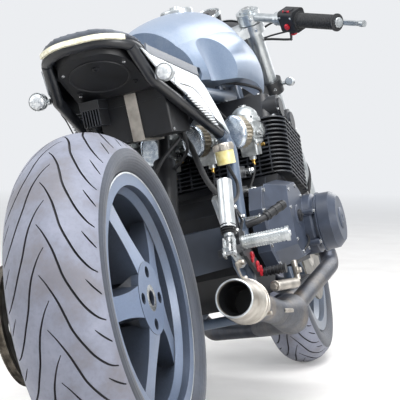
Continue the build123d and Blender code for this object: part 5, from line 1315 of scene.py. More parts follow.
barrel_way = (on_barrel(0, 0, 100) - on_barrel(0, 0, 0)).normalized()
barrel_back = (on_barrel(-100, 0, 0) - on_barrel(0, 0, 0)).normalized()
web = box_section(1.2, 4)
bm = bmesh.new()
for side in (-1, 1):
    for across in (-62, -38, -14, 10, 34, 58):
        line = [on_barrel(across, side * FIN_SIDE, rise) for rise in (WEB_FOOT, SIDE_WEB_TOP)]
        sweep(bm, line, web, side_hint=barrel_back)
for y in (-168, -141, -114, -74, -47, -20, 20, 47, 74, 114, 141, 168):
    line = [on_barrel(FIN_BACK, y, rise) for rise in (WEB_FOOT, BACK_WEB_TOP)]
    sweep(bm, line, web, side_hint=left_way)
add_piece("fin_webs", bm, "black_engine_enamel", "chassis")

# %% Head nuts and cam cover screws
HEAD_FLANGE, CAM_COVER_TOP, CAM_AXIS = 240, 302, 271
CAM_END, CAM_SPREAD, CAP_CIRCLE = 192, 48, 23
bm = bmesh.new()
for y in (-188, -94, 0, 94, 188):
    for across in (-66, 66):
        bolt(bm, on_barrel(across, y * 0.96, HEAD_FLANGE), barrel_way, 11, 8, washer=8)
for y in (-150, -75, 0, 75, 150):
    for across in (-62, 62):
        cap_screw(bm, on_barrel(across, y, CAM_COVER_TOP), barrel_way, 5, 6)
for side in (-1, 1):
    for cam in (-CAM_SPREAD, CAM_SPREAD):
        for turn in range(3):
            angle = radians(90 + 120 * turn)
            across, rise = cam + CAP_CIRCLE * cos(angle), CAM_AXIS + CAP_CIRCLE * sin(angle)
            cap_screw(bm, on_barrel(across, side * CAM_END, rise), left_way * side, 3.2, 3.4)
add_piece("head_fasteners", bm, "bright_bolt_steel", "chassis")

# %% Plug caps and leads
PLUG_FOOT = 300
PLUG_CAP = [(11, -2), (11, 8), (8, 12), (7, 26), (5, 30), (0, 30)]
# across the cylinders, share of the row's place to the left, and height of each point of a lead
PLUG_LEAD = [(0, 1, 326), (-4, 1, 344), (-40, 0.75, 352), (-90, 0.4, 348)]
bm = bmesh.new()
for y in ROWS:
    turn_profile(bm, on_barrel(0, y, PLUG_FOOT), barrel_way, PLUG_CAP, 16)
    hose(bm, [on_barrel(across, y * share, rise) for across, share, rise in PLUG_LEAD], 3.6)
add_piece("plug_caps_and_leads", bm, "soft_black_rubber", "chassis")

# %% [markdown]
# ## Cover screws
# Every cover is held by a row of socket screws, and the round cover on the crankshaft's end stands
# on four long bosses. A screw's place is given along the machine and in height, and the flat face
# of its cover, as the model has it, gives the third number.

# %% Screws of the four covers
REAR_COVER_Y, CLUTCH_COVER_Y, LEFT_COVER_Y = -178, -214.8, 212
END_COVER_FLANGE_Y, END_COVER_CAP_Y = -240, -268
END_COVER_DEGREES = (35, 155, 215, 320)
REAR_SCREWS = [(568, 345), (566, 420), (598, 462), (606, 304), (660, 300), (704, 306)]
CLUTCH_SCREWS = [(664, 345), (660, 414), (674, 452), (742, 456), (783, 432), (786, 366), (758, 318)]
CLUTCH_SCREWS += [(698, 315)]
LEFT_SCREWS = [(640, 320), (640, 412), (728, 412), (728, 320)]


def round_crank(radius, degrees, y):
    """A point on a circle round the crankshaft's line."""
    angle = radians(degrees)
    return parked(CRANK.x + radius * cos(angle), y, CRANK.z + radius * sin(angle))


bm = bmesh.new()
for x, z in REAR_SCREWS:
    cap_screw(bm, parked(x, REAR_COVER_Y, z), right_way, 4.6, 4.5)
for x, z in CLUTCH_SCREWS:
    cap_screw(bm, parked(x, CLUTCH_COVER_Y, z), right_way, 3.8, 2.6)
for degrees in END_COVER_DEGREES:
    cap_screw(bm, round_crank(68, degrees, END_COVER_FLANGE_Y), right_way, 4, 4)
    cap_screw(bm, round_crank(55, degrees, END_COVER_CAP_Y), right_way, 3.4, 3)
for x, z in LEFT_SCREWS:
    cap_screw(bm, parked(x, LEFT_COVER_Y, z), left_way, 4.5, 4.5)
add_piece("cover_screws", bm, "bright_bolt_steel", "chassis")

# %% Bosses and raised rings
OIL_CAP_X, OIL_CAP_Z = 718, 392
END_RING = [(24, -2), (24, 1.5), (21, 3), (9, 3), (8, 1.8), (0, 1.8)]
FLANGE_RING = [(60.5, -2), (66.6, -1.2), (66.6, 1.2), (60.5, 2)]
CAP_SEAT = [(24, 0), (24, 1.4), (22.5, 2.2), (0, 2.2)]
bm = bmesh.new()
for degrees in END_COVER_DEGREES:
    rod(bm, round_crank(68, degrees, -180), round_crank(68, degrees, END_COVER_FLANGE_Y), 7)
turn_profile(bm, parked(CRANK.x, -286, CRANK.z), right_way, END_RING, 40)
turn_profile(bm, parked(CRANK.x, -243, CRANK.z), right_way, FLANGE_RING, 64)
turn_profile(bm, parked(OIL_CAP_X, CLUTCH_COVER_Y, OIL_CAP_Z), right_way, CAP_SEAT, 40)
add_piece("cover_bosses", bm, "graphite_cover_enamel", "chassis")

# %% Oil cap, its bar and the cable guide
GUIDE_CABLE = [(770, -212, 352), (745, -222, 336), (722, -218, 322), (706, -206, 312), (700, -190, 300)]
bm = bmesh.new()
cap_centre = parked(OIL_CAP_X, -216.8, OIL_CAP_Z)
turn_profile(bm, cap_centre, right_way, [(13, 0), (13, 5), (12, 6), (0, 6)], 28)
cap_bar = parked_line([(OIL_CAP_X - 10, -223, OIL_CAP_Z), (OIL_CAP_X + 10, -223, OIL_CAP_Z)])
sweep(bm, cap_bar, [(-3, -2), (3, -2), (2, 3), (-2, 3)])
hose(bm, parked_line(GUIDE_CABLE), 2.6)
turn_profile(bm, parked(884, -222, 408), right_way, [(6, 0), (6, 14), (4, 16), (0, 16)], 16)
add_piece("oil_cap_and_guides", bm, "moulded_black_plastic", "chassis")

# %% [markdown]
# ## Carburettor fittings
# Four carburettors are tied together by steel rods, which carry the throttle's drums. Each has
# screws above and below, brass fittings, a lever and a drain hose, and two steel bands hold it
# between the engine and its filter. Fuel hoses feed them in pairs.

# %% Brass, linkage and hoses
CARB_X, CARB_Z = 731, 594
DRAIN = [(5, 0), (5, 4), (3, 5), (3, 14), (0, 14)]
TOP_CAP = [(9, -2), (9, 1), (7, 2), (0, 2)]
DRUM = [(3, 0), (22, 0), (22, 2), (20, 3), (20, 4), (22, 5), (3, 5)]


def band(bm, place, way, radius, half_width):
    """A thin hose clamp round a stub, 0.8 mm thick."""
    thick = radius + 0.8
    profile = [(radius, -half_width), (thick, -half_width), (thick, half_width), (radius, half_width)]
    turn_profile(bm, place, way, profile, 36, closed=True)


brass, steel, rubber = bmesh.new(), bmesh.new(), bmesh.new()
for y in ROWS:
    for dx, dy in ((-23, -23), (23, -23), (23, 23), (-23, 23)):
        cap_screw(steel, parked(CARB_X + dx, y + dy, CARB_Z + 26), up_way, 3.2, 5)
        cap_screw(steel, parked(CARB_X + dx * 0.9, y + dy * 0.85, CARB_Z - 28), -up_way, 2.6, 4)
    turn_profile(brass, parked(CARB_X, y, CARB_Z - 61), -up_way, DRAIN, 12)
    rod(brass, parked(CARB_X + 6, y - 22, CARB_Z - 34), parked(CARB_X + 6, y - 31, CARB_Z - 34), 3.4)
    rod(steel, parked(CARB_X - 14, y - 24, CARB_Z - 8), parked(CARB_X - 14, y - 33, CARB_Z - 8), 6.5)
    turn_profile(steel, parked(CARB_X, y, CARB_Z + 56), up_way, TOP_CAP, 20)
    drip = [(CARB_X, y, CARB_Z - 70), (CARB_X - 6, y * 0.98, CARB_Z - 92)]
    drip += [(CARB_X - 30, y * 0.9, 470), (CARB_X - 60, y * 0.8, 430)]
    hose(rubber, parked_line(drip), 2.8)
    band(steel, parked(CARB_X + 52, y, CARB_Z), ahead_way, 25.6, 4)
    band(steel, parked(CARB_X - 46, y, CARB_Z), -ahead_way, 24.1, 3.5)
for dx, dz, half, radius in ((12, -2, 172, 3.2), (30, 20, 168, 2.6)):
    rod(steel, *parked_line([(CARB_X + dx, side * half, CARB_Z + dz) for side in (-1, 1)]), radius)
for y in (-10, 22):
    turn_profile(steel, parked(CARB_X + 12, y, CARB_Z - 2), left_way, DRUM, 30)
for low, high in ((-141, -47), (47, 141)):
    middle = (low + high) / 2
    arch = [(36, low, 606), (34, low + 24, 622), (30, middle, 628), (34, high - 24, 622), (36, high, 606)]
    feed = [(30, middle, 630), (20, middle * 0.8, 660), (30, middle * 0.4, 700), (800 - CARB_X, 20, 722)]
    for points in (arch, feed):
        hose(rubber, parked_line([(CARB_X + dx, y, z) for dx, y, z in points]), 4.2)
THROTTLE_CABLE = [(743, 0, 606), (761, -6, 650), (840, -20, 682), (960, -30, 700), (1120, -34, 760)]
hose(rubber, parked_line(THROTTLE_CABLE), 3.4)
add_piece("carburettor_brass", brass, "brass_jet", "chassis")
add_piece("carburettor_steel", steel, "bright_bolt_steel", "chassis")
add_piece("carburettor_hoses", rubber, "soft_black_rubber", "chassis")

# %% [markdown]
# ## Exhaust fittings
# The short muffler has a rolled bright lip and two weld seams where its cone meets the pipe. A
# clamp holds the joint, two springs keep the merged pipes together and a steel tab hangs the
# muffler from the footrest plate.

# %% Lip
LIP_REACH = 125.4
LIP = [(33.9, -1.4), (34.4, 0.9), (36, 1.4), (37.4, 0.6), (37.8, -1.2)]
bm = bmesh.new()
turn_profile(bm, PIPE_END + MUFFLER_WAY * LIP_REACH * MM, MUFFLER_WAY, LIP, 72)
add_piece("muffler_lip", bm, "satin_machined_alloy", "chassis")

# %% Seams, clamp and hanger
CLAMP = [(27.2, -9), (29.4, -9), (29.4, 9), (27.2, 9)]
TAB = [(392, -150.4, 330), (350, -152, 326), (338, -160, 306), (343, -168, 288)]
bm = bmesh.new()
for reach, radius in ((31, 42.4), (53, 44.2)):
    low, high = radius - 0.6, radius + 0.7
    seam = [(low, -2), (high, -1), (high, 1), (low, 2)]
    turn_profile(bm, PIPE_END + MUFFLER_WAY * reach * MM, MUFFLER_WAY, seam, 72)
neck = PIPE_END - MUFFLER_WAY * 16 * MM
turn_profile(bm, neck, MUFFLER_WAY, CLAMP, 48)
clamp_screw = neck - up_way * 22 * MM
rod(bm, clamp_screw - left_way * 30 * MM, clamp_screw + left_way * 6 * MM, 4)
sweep(bm, parked_line(TAB), box_section(1.6, 8), side_hint=left_way)
bolt(bm, parked(384, -152, 330), right_way, 12, 7, washer=9)
bolt(bm, parked(340, -164, 300), right_way, 11, 7)
add_piece("muffler_hanger", bm, "brushed_stainless_steel", "chassis")

# %% Springs and link
COIL_TURNS, COIL_SIDES, COIL_RADIUS = 14, 8, 4.2
COIL_STEPS = COIL_TURNS * COIL_SIDES
bm = bmesh.new()
for y, z in ((-196, 214), (-150, 236)):
    start, end = parked(548, y, z - 8), parked(484, y * 0.99, z)
    first, second = square_to((end - start).normalized())
    coil = []
    for step in range(COIL_STEPS + 1):
        angle = 2 * pi * step / COIL_SIDES
        out = first * cos(angle) + second * sin(angle)
        coil.append(start + (end - start) * step / COIL_STEPS + out * COIL_RADIUS * MM)
    sweep(bm, coil, round_section(1.1, 6))
rod(bm, parked(480, -188, 266), parked(596, -206, 258), 11)
rod(bm, parked(619, -206, 304), parked(615, -208, 262), 6.5)
bolt(bm, parked(480, -187, 266), -ahead_way, 14, 7)
bolt(bm, parked(612, -212, 282), right_way, 13, 7, washer=9)
add_piece("exhaust_springs_and_link", bm, "brushed_stainless_steel", "chassis")

# %% [markdown]
# ## Footrests
# The alloy pegs are knurled so that a boot grips them: rings of small blunt teeth, cut when the
# peg is turned. Real teeth would be about two millimetres apart, too fine here, so they are drawn
# five millimetres apart. The right peg's bracket is a black plate cut away to thin bars.

# %% Peg knurl
PEG_X, PEG_Z, PEG_RADIUS = 425, 367, 12.6
TOOTH_PITCH, TOOTH_RISE, TEETH, TOOTH_ROWS = 5, 1.7, 14, 15
PEG_COLLAR = [(12.8, -1.5), (14.6, -1.5), (14.6, 1.5), (12.8, 1.5)]
bm = bmesh.new()
tooth_sections = [box_section(1.9, 1.6), box_section(1.1, 0.9)]
for side, inner in ((-1, 144), (1, 196)):
    peg_way = (upright @ Vector((0.12, side, 0))).normalized()
    first, second = square_to(peg_way)
    root = parked(PEG_X, side * inner, PEG_Z)
    for row in range(TOOTH_ROWS):
        for tooth in range(TEETH):
            angle = 2 * pi * tooth / TEETH
            out = first * cos(angle) + second * sin(angle)
            foot = root + peg_way * (17 + row * TOOTH_PITCH) * MM + out * PEG_RADIUS * MM
            sweep(bm, [foot, foot + out * TOOTH_RISE * MM], tooth_sections, side_hint=peg_way)
    for reach in (12, 94):
        turn_profile(bm, root + peg_way * reach * MM, peg_way, PEG_COLLAR, 28)
    cap_screw(bm, root + peg_way * 107 * MM, peg_way, 6, 3)
add_piece("peg_knurls", bm, "satin_machined_alloy", "chassis")

# %% Bracket plate
PLATE_Y = -150.6
PLATE_BARS = (
    ((344, 500), (386, 470), (432, 442), (482, 412)),
    ((344, 500), (366, 452), (384, 418), (402, 388)),
    ((482, 412), (446, 392), (402, 388)),
    ((380, 474), (392, 430), (404, 392)),
    ((408, 458), (414, 420), (424, 390)),
    ((438, 440), (440, 414), (446, 392)),
)
ENGINE_LUGS = ((508, 656), (466, 644))
bm = bmesh.new()
for bar in PLATE_BARS:
    line = [parked(x, PLATE_Y, z) for x, z in bar]
    sweep(bm, line, box_section(2, 4.2), side_hint=left_way)
for z, front in ENGINE_LUGS:
    line = parked_line([(572, -132, z + 2), (front, -133, z)])
    sweep(bm, line, box_section(3, 12), side_hint=left_way)
add_piece("right_bracket_plates", bm, "black_engine_enamel", "chassis")

# %% Folded kick arm
KICK_BOOT = [(512, -148, 398), (518, -172, 402), (530, -192, 408)]
bm = bmesh.new()
hose(bm, parked_line(KICK_BOOT), 7)
kick_start, kick_end = parked(526, -186, 406), parked(568, -224, 426)
rod(bm, kick_start, kick_end, 9.5, soften=3)
for reach in (0.2, 0.5, 0.8):
    kick_rib = [(9, -3), (10.6, -2), (10.6, 2), (9, 3)]
    spot = kick_start.lerp(kick_end, reach)
    turn_profile(bm, spot, (kick_end - kick_start).normalized(), kick_rib, 24)
add_piece("folded_kick_arm", bm, "moulded_black_plastic", "chassis")

# %% [markdown]
# ## Rear brake
# The rear brake is worked by a red-trimmed pedal in front of the peg. A fork end, a threaded rod
# and a rubber boot join it to the master cylinder, which the black plate carries. A hose brings
# fluid down from the yellowed reservoir, and others lead on to the frame and the wheel.

# %% Bolts, fork end and rod
CYLINDER_COLLAR = [(12.2, 0), (13, 1), (13, 6), (12.2, 7)]
bm = bmesh.new()
for x, z, y in ((421, 440, -152), (398, 394, -152), (474, 418, -152), (350, 492, -152)):
    bolt(bm, parked(x, y, z), right_way, 9, 6, washer=6.5)
for x, z in ((654, 508), (642, 466)):
    rod(bm, parked(x, -120, z), parked(x, -146, z), 7)
    bolt(bm, parked(x, -146, z), right_way, 13, 8, washer=9)
rod(bm, parked(528, -146, 406), parked(528, -176, 406), 8)
bolt(bm, parked(528, -176, 406), right_way, 15, 8, washer=11)
cylinder_low, cylinder_high = parked(254, -170.3, 360), parked(322, -170.3, 494)
cylinder_way = (cylinder_high - cylinder_low).normalized()
rod(bm, cylinder_low + cylinder_way * 4 * MM, cylinder_low + cylinder_way * 34 * MM, 5.6)
bolt(bm, cylinder_low + cylinder_way * 14 * MM, cylinder_way, 13, 6)
for y in (-180, -160.6):
    sweep(bm, parked_line([(246, y, 350), (266, y, 384)]), box_section(1.6, 6), side_hint=left_way)
rod(bm, parked(249, -184, 357), parked(249, -156, 357), 4)
rod(bm, parked(262, -152, 357), parked(318, -154, 358), 4.5)
turn_profile(bm, cylinder_high - cylinder_way * 6 * MM, cylinder_way, CYLINDER_COLLAR, 28)
rod(bm, parked(320, -168, 480), parked(338, -160, 484), 5)
bolt(bm, parked(338, -160, 484), right_way, 13, 8)
add_piece("right_bright_fittings", bm, "bright_bolt_steel", "chassis")

# %% Red pedal trim
TRIM_DISC = [(9, 0), (9, 3), (7.5, 4), (4, 4), (4, 2.4), (0, 2.4)]
bm = bmesh.new()
for x, z, y in ((470, 336, -156.6), (498, 314, -156.8), (516, 303, -157)):
    turn_profile(bm, parked(x, y, z), right_way, TRIM_DISC, 24)
    turn_profile(bm, parked(x - 4, y, z - 8), right_way, [(6, 0), (6, 3), (0, 3)], 18)
add_piece("pedal_red_trim", bm, "red_anodised_alloy", "chassis")

# %% Boot and brake hoses
# radius, then the points along each hose
BRAKE_HOSES = [
    (6, [(566, -34, 622), (539, -60, 586), (480, -84, 548), (436, -106, 506), (408, -128, 476),
         (384, -148, 462), (352, -158, 470)]),
    (3.6, [(470, -146, 530), (488, -147, 512), (508, -149, 488), (488, -151, 464),
           (440, -153, 452), (392, -156, 452), (340, -162, 470)]),
    (4, [(470, -60, 600), (440, -20, 560), (430, 20, 500), (380, 60, 440), (300, 86, 400),
         (160, 84, 380)]),
]
bm = bmesh.new()
for ring in range(4):
    middle = cylinder_low + cylinder_way * (36 + 5 * ring) * MM
    fold = [(11 + ring, 0), (14.5 + ring * 0.6, 2), (11.4 + ring, 4.4)]
    turn_profile(bm, middle, cylinder_way, fold, 24)
for radius, points in BRAKE_HOSES:
    hose(bm, parked_line(points), radius)
add_piece("rear_brake_hoses", bm, "soft_black_rubber", "chassis")

# %% Reservoir cap
CAP_RIBS, CAP_RADIUS = 20, 20.6
JAR_CAP = [(20.2, 0), (20.8, 1), (20.8, 13), (19, 15.4), (0, 15.4)]
bm = bmesh.new()
jar = parked(470, -146, 556)
turn_profile(bm, jar, up_way, JAR_CAP, 40)
for rib in range(CAP_RIBS):
    angle = 2 * pi * rib / CAP_RIBS
    foot = jar + (ahead_way * cos(angle) + left_way * sin(angle)) * CAP_RADIUS * MM
    rod(bm, foot + up_way * 1.5 * MM, foot + up_way * 12.5 * MM, 1.2, sides=6)
add_piece("reservoir_cap", bm, "brushed_stainless_steel", "chassis")

# %% [markdown]
# ## Front end
# The handlebars clip to the fork tubes. The grips are ribbed rubber, the right switch block has a
# red kill switch and a red starter button, and thin cables leave it. Each piece rides on the front
# end and its place is given in the fork's own axes, so that it stays put when the bars turn.

# %% Grips, clamps and switches
BAR_SWEEP = radians(41)
BAR_LEVEL, FORK_OFFSET, FORK_HALF = 962, 41.6, 98
YOKE_TOP = 946


def on_bar(side, reach, ahead=0.0, rise=0.0):
    """A point by one handlebar: out along it, ahead of it and above it."""
    x = FORK_OFFSET - sin(BAR_SWEEP) * reach + cos(BAR_SWEEP) * ahead
    y = side * (FORK_HALF + cos(BAR_SWEEP) * reach + sin(BAR_SWEEP) * ahead)
    return forked(x, y, BAR_LEVEL + rise)


GRIP_RIBS, RIB_PITCH, GRIP_START = 19, 5.6, 186
GRIP_RIB = [(16.6, 0), (18, 0.8), (18, 2.6), (16.6, 3.4)]
GRIP_COLLAR = [(16.6, -2), (21, -1.5), (21, 1.5), (16.6, 2)]
BAR_END = [(12, 0), (12, 4), (10, 6), (0, 6)]
SWITCH_CAP = [(13, -2), (13, 2), (11, 3), (0, 3)]
ADJUSTER = [(7, -6), (7, 2), (4.5, 3), (4.5, 12), (0, 12)]
grips, alloy, plastic, red = bmesh.new(), bmesh.new(), bmesh.new(), bmesh.new()
for side in (-1, 1):
    way = (on_bar(side, 100) - on_bar(side, 0)).normalized()
    bar_ahead = (on_bar(side, 100, 10) - on_bar(side, 100)).normalized()
    for ring in range(GRIP_RIBS):
        turn_profile(grips, on_bar(side, GRIP_START + ring * RIB_PITCH), way, GRIP_RIB, 28)
    for reach in (177, 297):
        turn_profile(grips, on_bar(side, reach), way, GRIP_COLLAR, 32)
    turn_profile(alloy, on_bar(side, 300), way, BAR_END, 24)
    lever_pin = on_bar(side, 108, 42, -22)
    rod(alloy, lever_pin + steer_way * 9 * MM, lever_pin - steer_way * 9 * MM, 5)
    for reach in (106, 118):
        cap_screw(alloy, on_bar(side, reach, -17, 6), -bar_ahead, 3.4, 3)
    for reach in (134, 169):
        cap_screw(alloy, on_bar(side, reach, -21.8, 14), -bar_ahead, 2.6, 2)
    for turn in (-1, 1):
        foot = on_bar(side, 152, -4, turn * 27.4)
        turn_profile(plastic, foot, steer_way * turn, SWITCH_CAP, 24)
    turn_profile(alloy, on_bar(side, 92, 48, -22), -way, ADJUSTER, 14)

# The red rocker and the two red buttons are on the right switch block only
kill = [on_bar(-1, 143, -10, 30), on_bar(-1, 162, -10, 30)]
sweep(red, kill, [(-6, 0), (6, 0), (6, 5), (0, 3.4), (-6, 6.5)], side_hint=fork_ahead)
towards_rider = (on_bar(-1, 100, -10) - on_bar(-1, 100)).normalized()
starter = [(7.5, 0), (7.5, 4), (6, 5.5), (0, 5.5)]
turn_profile(red, on_bar(-1, 152, -21.8, -8), towards_rider, starter, 20)
turn_profile(red, on_bar(-1, 152, -8, -30), -steer_way, [(8, 0), (8, 4), (6.5, 5), (0, 5)], 20)
add_piece("grip_ribs", grips, "soft_black_rubber", "front_end")
add_piece("bar_fittings", alloy, "satin_machined_alloy", "front_end")
add_piece("switch_pads", plastic, "moulded_black_plastic", "front_end")
add_piece("red_switches", red, "red_anodised_alloy", "front_end")

# %% Cables and brake hoses
# radius, points along the bar (reach, ahead, rise) and then points of the fork (ahead, out, up)
SIDE_CABLES = [
    (2.6, [(82, 48, -22), (60, 52, -26)], [(96, 110, 900), (92, 70, 850), (84, 24, 812)]),
    (3.0, [(140, -6, -28), (120, 6, -56), (84, 26, -70)], [(78, 92, 880), (76, 40, 826)]),
    (4.0, [], [(60, 36, 768), (80, 78, 742), (82, 92, 690), (80, 96, 600), (44, 124, 520), (-8, 110, 466)]),
]
THIN_CABLE = (2.2, [(128, 10, -26), (112, 30, -52), (70, 44, -58)], [(88, 84, 872), (80, 30, 800)])


def front_cable(bm, side, radius, bar_points, fork_points):
    """A cable from one handlebar down towards the fork."""
    line = [on_bar(side, *point) for point in bar_points]
    line += [forked(ahead, side * out, rise) for ahead, out, rise in fork_points]
    hose(bm, line, radius)


bm = bmesh.new()
for side in (-1, 1):
    for row in SIDE_CABLES:
        front_cable(bm, side, *row)
front_cable(bm, -1, *THIN_CABLE)
add_piece("front_cables", bm, "soft_black_rubber", "front_end")

# %% [markdown]
# ## Yokes and fork
# A large nut closes the steering stem, a cap each fork tube, and pinch bolts grip the tubes behind.
# Lower down, dust seals of soft rubber meet the sliders, and bolts hold the brake calipers.

# %% Yoke nuts, fork tops and caliper bolts
SPINDLE_NUT = [(14, -3), (16, 0), (16, 8), (11, 10), (0, 10)]
SLIDER_RING = [(27.2, 0), (28.6, 1), (28.6, 5), (27.2, 6)]
bm = bmesh.new()
turn_profile(bm, forked(0, 0, YOKE_TOP), steer_way, [(20, 0), (20, 2.4), (0, 2.4)], 32)
bolt(bm, forked(0, 0, YOKE_TOP + 2), steer_way, 30, 10)
for side in (-1, 1):
    bolt(bm, forked(FORK_OFFSET, side * FORK_HALF, 981), steer_way, 24, 5)
    for x, z in ((FORK_OFFSET - 27, 933), (FORK_OFFSET - 27, 769)):
        cap_screw(bm, forked(x, side * (FORK_HALF + 12), z), -fork_ahead, 4.2, 4)
    cap_screw(bm, forked(FORK_OFFSET - 25, side * (FORK_HALF + 6), 962), -fork_ahead, 4, 4)
    turn_profile(bm, forked(FORK_OFFSET, side * FORK_HALF, 633), steer_way, SLIDER_RING, 40)
    for z in (396, 440):
        bolt(bm, forked(-24, side * 101, z), fork_left * side, 11, 6, washer=8)
    spindle_end = front_centre + fork_left * side * FORK_HALF * MM
    turn_profile(bm, spindle_end, fork_left * side, SPINDLE_NUT, 6)
add_piece("fork_fasteners", bm, "bright_bolt_steel", "front_end")

# %% Dust seals
DUST_SEAL = [(20.4, 8), (22.5, 7), (26, 2), (26, 0)]
bm = bmesh.new()
for side in (-1, 1):
    turn_profile(bm, forked(FORK_OFFSET, side * FORK_HALF, 639), steer_way, DUST_SEAL, 36)
add_piece("fork_dust_seals", bm, "soft_black_rubber", "front_end")

# %% [markdown]
# ## Gauge and headlight
# One small gauge sits on the upper yoke, its dial under glass, with a mark every few degrees and a
# red needle at rest. The headlight's glass is pressed with upright ribs that spread its beam, and
# a bright rim with two side bolts holds it. The lamp's own axis is found from the glass itself.

# %% Gauge
GAUGE_TOP = 992
FIRST_MARK, MARK_STEP, MARKS = -215, 12.5, 21
NEEDLE_DEGREES = -205
BEZEL_RING = [(29, 0.2), (30, 2.2), (32, 2), (32.8, -1), (32.8, -6)]
NEEDLE_SECTION = [(-0.9, -0.2), (0.9, -0.2), (0.6, 0.3), (-0.6, 0.3)]


def dial_way(degrees):
    """The way out from the dial's middle at an angle from straight ahead."""
    return fork_ahead * cos(radians(degrees)) + fork_left * sin(radians(degrees))


def dial_bar(bm, out, start, end, rise, section, finish_index=0):
    """A thin bar on the dial, from one distance from its middle to another."""
    line = [dial_centre + out * reach * MM + steer_way * rise * MM for reach in (start, end)]
    sweep(bm, line, section, finish_index, steer_way.cross(out))


dial, marks, bezel = bmesh.new(), bmesh.new(), bmesh.new()
dial_centre = forked(54, 0, GAUGE_TOP)
turn_profile(dial, dial_centre, steer_way, [(29, -0.5), (29, 0.3), (0, 0.3)], 48)
turn_profile(bezel, dial_centre, steer_way, BEZEL_RING, 48)
for mark in range(MARKS):
    inner = 21 if mark % 5 == 0 else 24
    dial_bar(marks, dial_way(FIRST_MARK + mark * MARK_STEP), inner, 27, 0.5, box_section(0.5, 0.2))
dial_bar(marks, dial_way(NEEDLE_DEGREES), -5, 22, 1, NEEDLE_SECTION, 1)
turn_profile(marks, dial_centre, steer_way, [(4, 0.4), (4, 1.6), (0, 2)], 16, finish_index=2)
add_piece("gauge_dial", dial, "dark_gauge_glass", "front_end")
mark_finishes = ["white_panel_paint_plain", "red_anodised_alloy", "moulded_black_plastic"]
add_piece("gauge_marks", marks, mark_finishes, "front_end")
add_piece("gauge_bezel", bezel, "satin_machined_alloy", "front_end")

# %% Headlight axis and rim
LAMP_RIM = [(75, -5), (77, -1), (81, 1), (86, 0), (89.5, -5), (90, -14), (88, -20)]
lens = bpy.data.objects["headlight_lens"]
glass = np.array([lens.matrix_world @ vertex.co for vertex in lens.data.vertices])
glass_middle = Vector((glass.max(0) + glass.min(0)) / 2)
# The glass is thinnest along the lamp's own axis
lamp_way = Vector(np.linalg.svd(glass - glass.mean(0), full_matrices=False)[2][2])
lamp_way = lamp_way if lamp_way.dot(ahead_way) > 0 else -lamp_way
lamp_side = (left_way - lamp_way * left_way.dot(lamp_way)).normalized()
lamp_up = lamp_way.cross(lamp_side)
print("lamp way", [round(value, 3) for value in lamp_way])
bm = bmesh.new()
turn_profile(bm, glass_middle, lamp_way, LAMP_RIM, 72)
for side in (-1, 1):
    foot = glass_middle + (lamp_side * side * 88 - lamp_way * 26) * MM
    cap_screw(bm, foot, lamp_side * side, 5, 5)
add_piece("headlight_rim", bm, "satin_machined_alloy", "front_end")

# %% Ribbed glass
GLASS_CURVE, GLASS_TOP, GLASS_RADIUS = 190, 10, 68
RIB_SECTION = [(-3, -0.6), (3, -0.6), (1.2, 0.8), (-1.2, 0.8)]
bm = bmesh.new()
for across in range(-60, 61, 10):
    reach = sqrt(GLASS_RADIUS**2 - across**2)
    line = []
    for step in range(13):
        rise = reach * (step / 6 - 1)
        dome = GLASS_TOP - GLASS_CURVE + sqrt(GLASS_CURVE**2 - across**2 - rise**2)
        line.append(glass_middle + (lamp_side * across + lamp_up * rise + lamp_way * dome) * MM)
    sweep(bm, line, RIB_SECTION, side_hint=lamp_side)
add_piece("headlight_ribs", bm, "silvered_lamp_lens", "front_end")
# %% [markdown]
# ## Camera
# The camera stands low behind the right rear of the machine and looks along it with a long lens.
# Its place is kept from the rear axle, so that it follows the machine if the box around it grows.

# %% Camera
CAMERA_FROM_AXLE = Vector((-2876.4, -924.0, 367.7)) * MM
CAMERA_YAW = radians(14.84)
CAMERA_PITCH = radians(-3.33)
CAMERA_ROLL = radians(0.8)
IMAGE_SIDE = 400
FOCAL_PIXELS = 1700
SENSOR_MM = 36

level = cos(CAMERA_PITCH)
view_way = Vector((level * cos(CAMERA_YAW), level * sin(CAMERA_YAW), sin(CAMERA_PITCH)))
picture_right = view_way.cross(Vector((0, 0, 1))).normalized()
picture_top = picture_right.cross(view_way)
rolled_right = picture_right * cos(CAMERA_ROLL) + picture_top * sin(CAMERA_ROLL)
rolled_top = rolled_right.cross(view_way)
camera_data = bpy.data.cameras.new("camera")
camera_data.sensor_width = SENSOR_MM
camera_data.lens = FOCAL_PIXELS / IMAGE_SIDE * SENSOR_MM
camera = bpy.data.objects.new("camera", camera_data)
camera.matrix_world = Matrix((rolled_right, rolled_top, -view_way)).transposed().to_4x4()
camera.location = rear_centre + CAMERA_FROM_AXLE
bpy.context.scene.collection.objects.link(camera)
bpy.context.scene.camera = camera
print("lens", camera_data.lens, "mm, camera at", [round(v, 3) for v in camera.location])

# %% [markdown]
# ## Floor
# The floor is pale and dusty and takes the machine's shadow. Far from the machine it turns into
# the backdrop's own colour, so that no line shows where it ends.

# %% Floor
BACKDROP = "#eceef1"
FLOOR_GLOW = 0.22
FLOOR_SIDE = 60
FADE_START, FADE_END = 2.5, 9


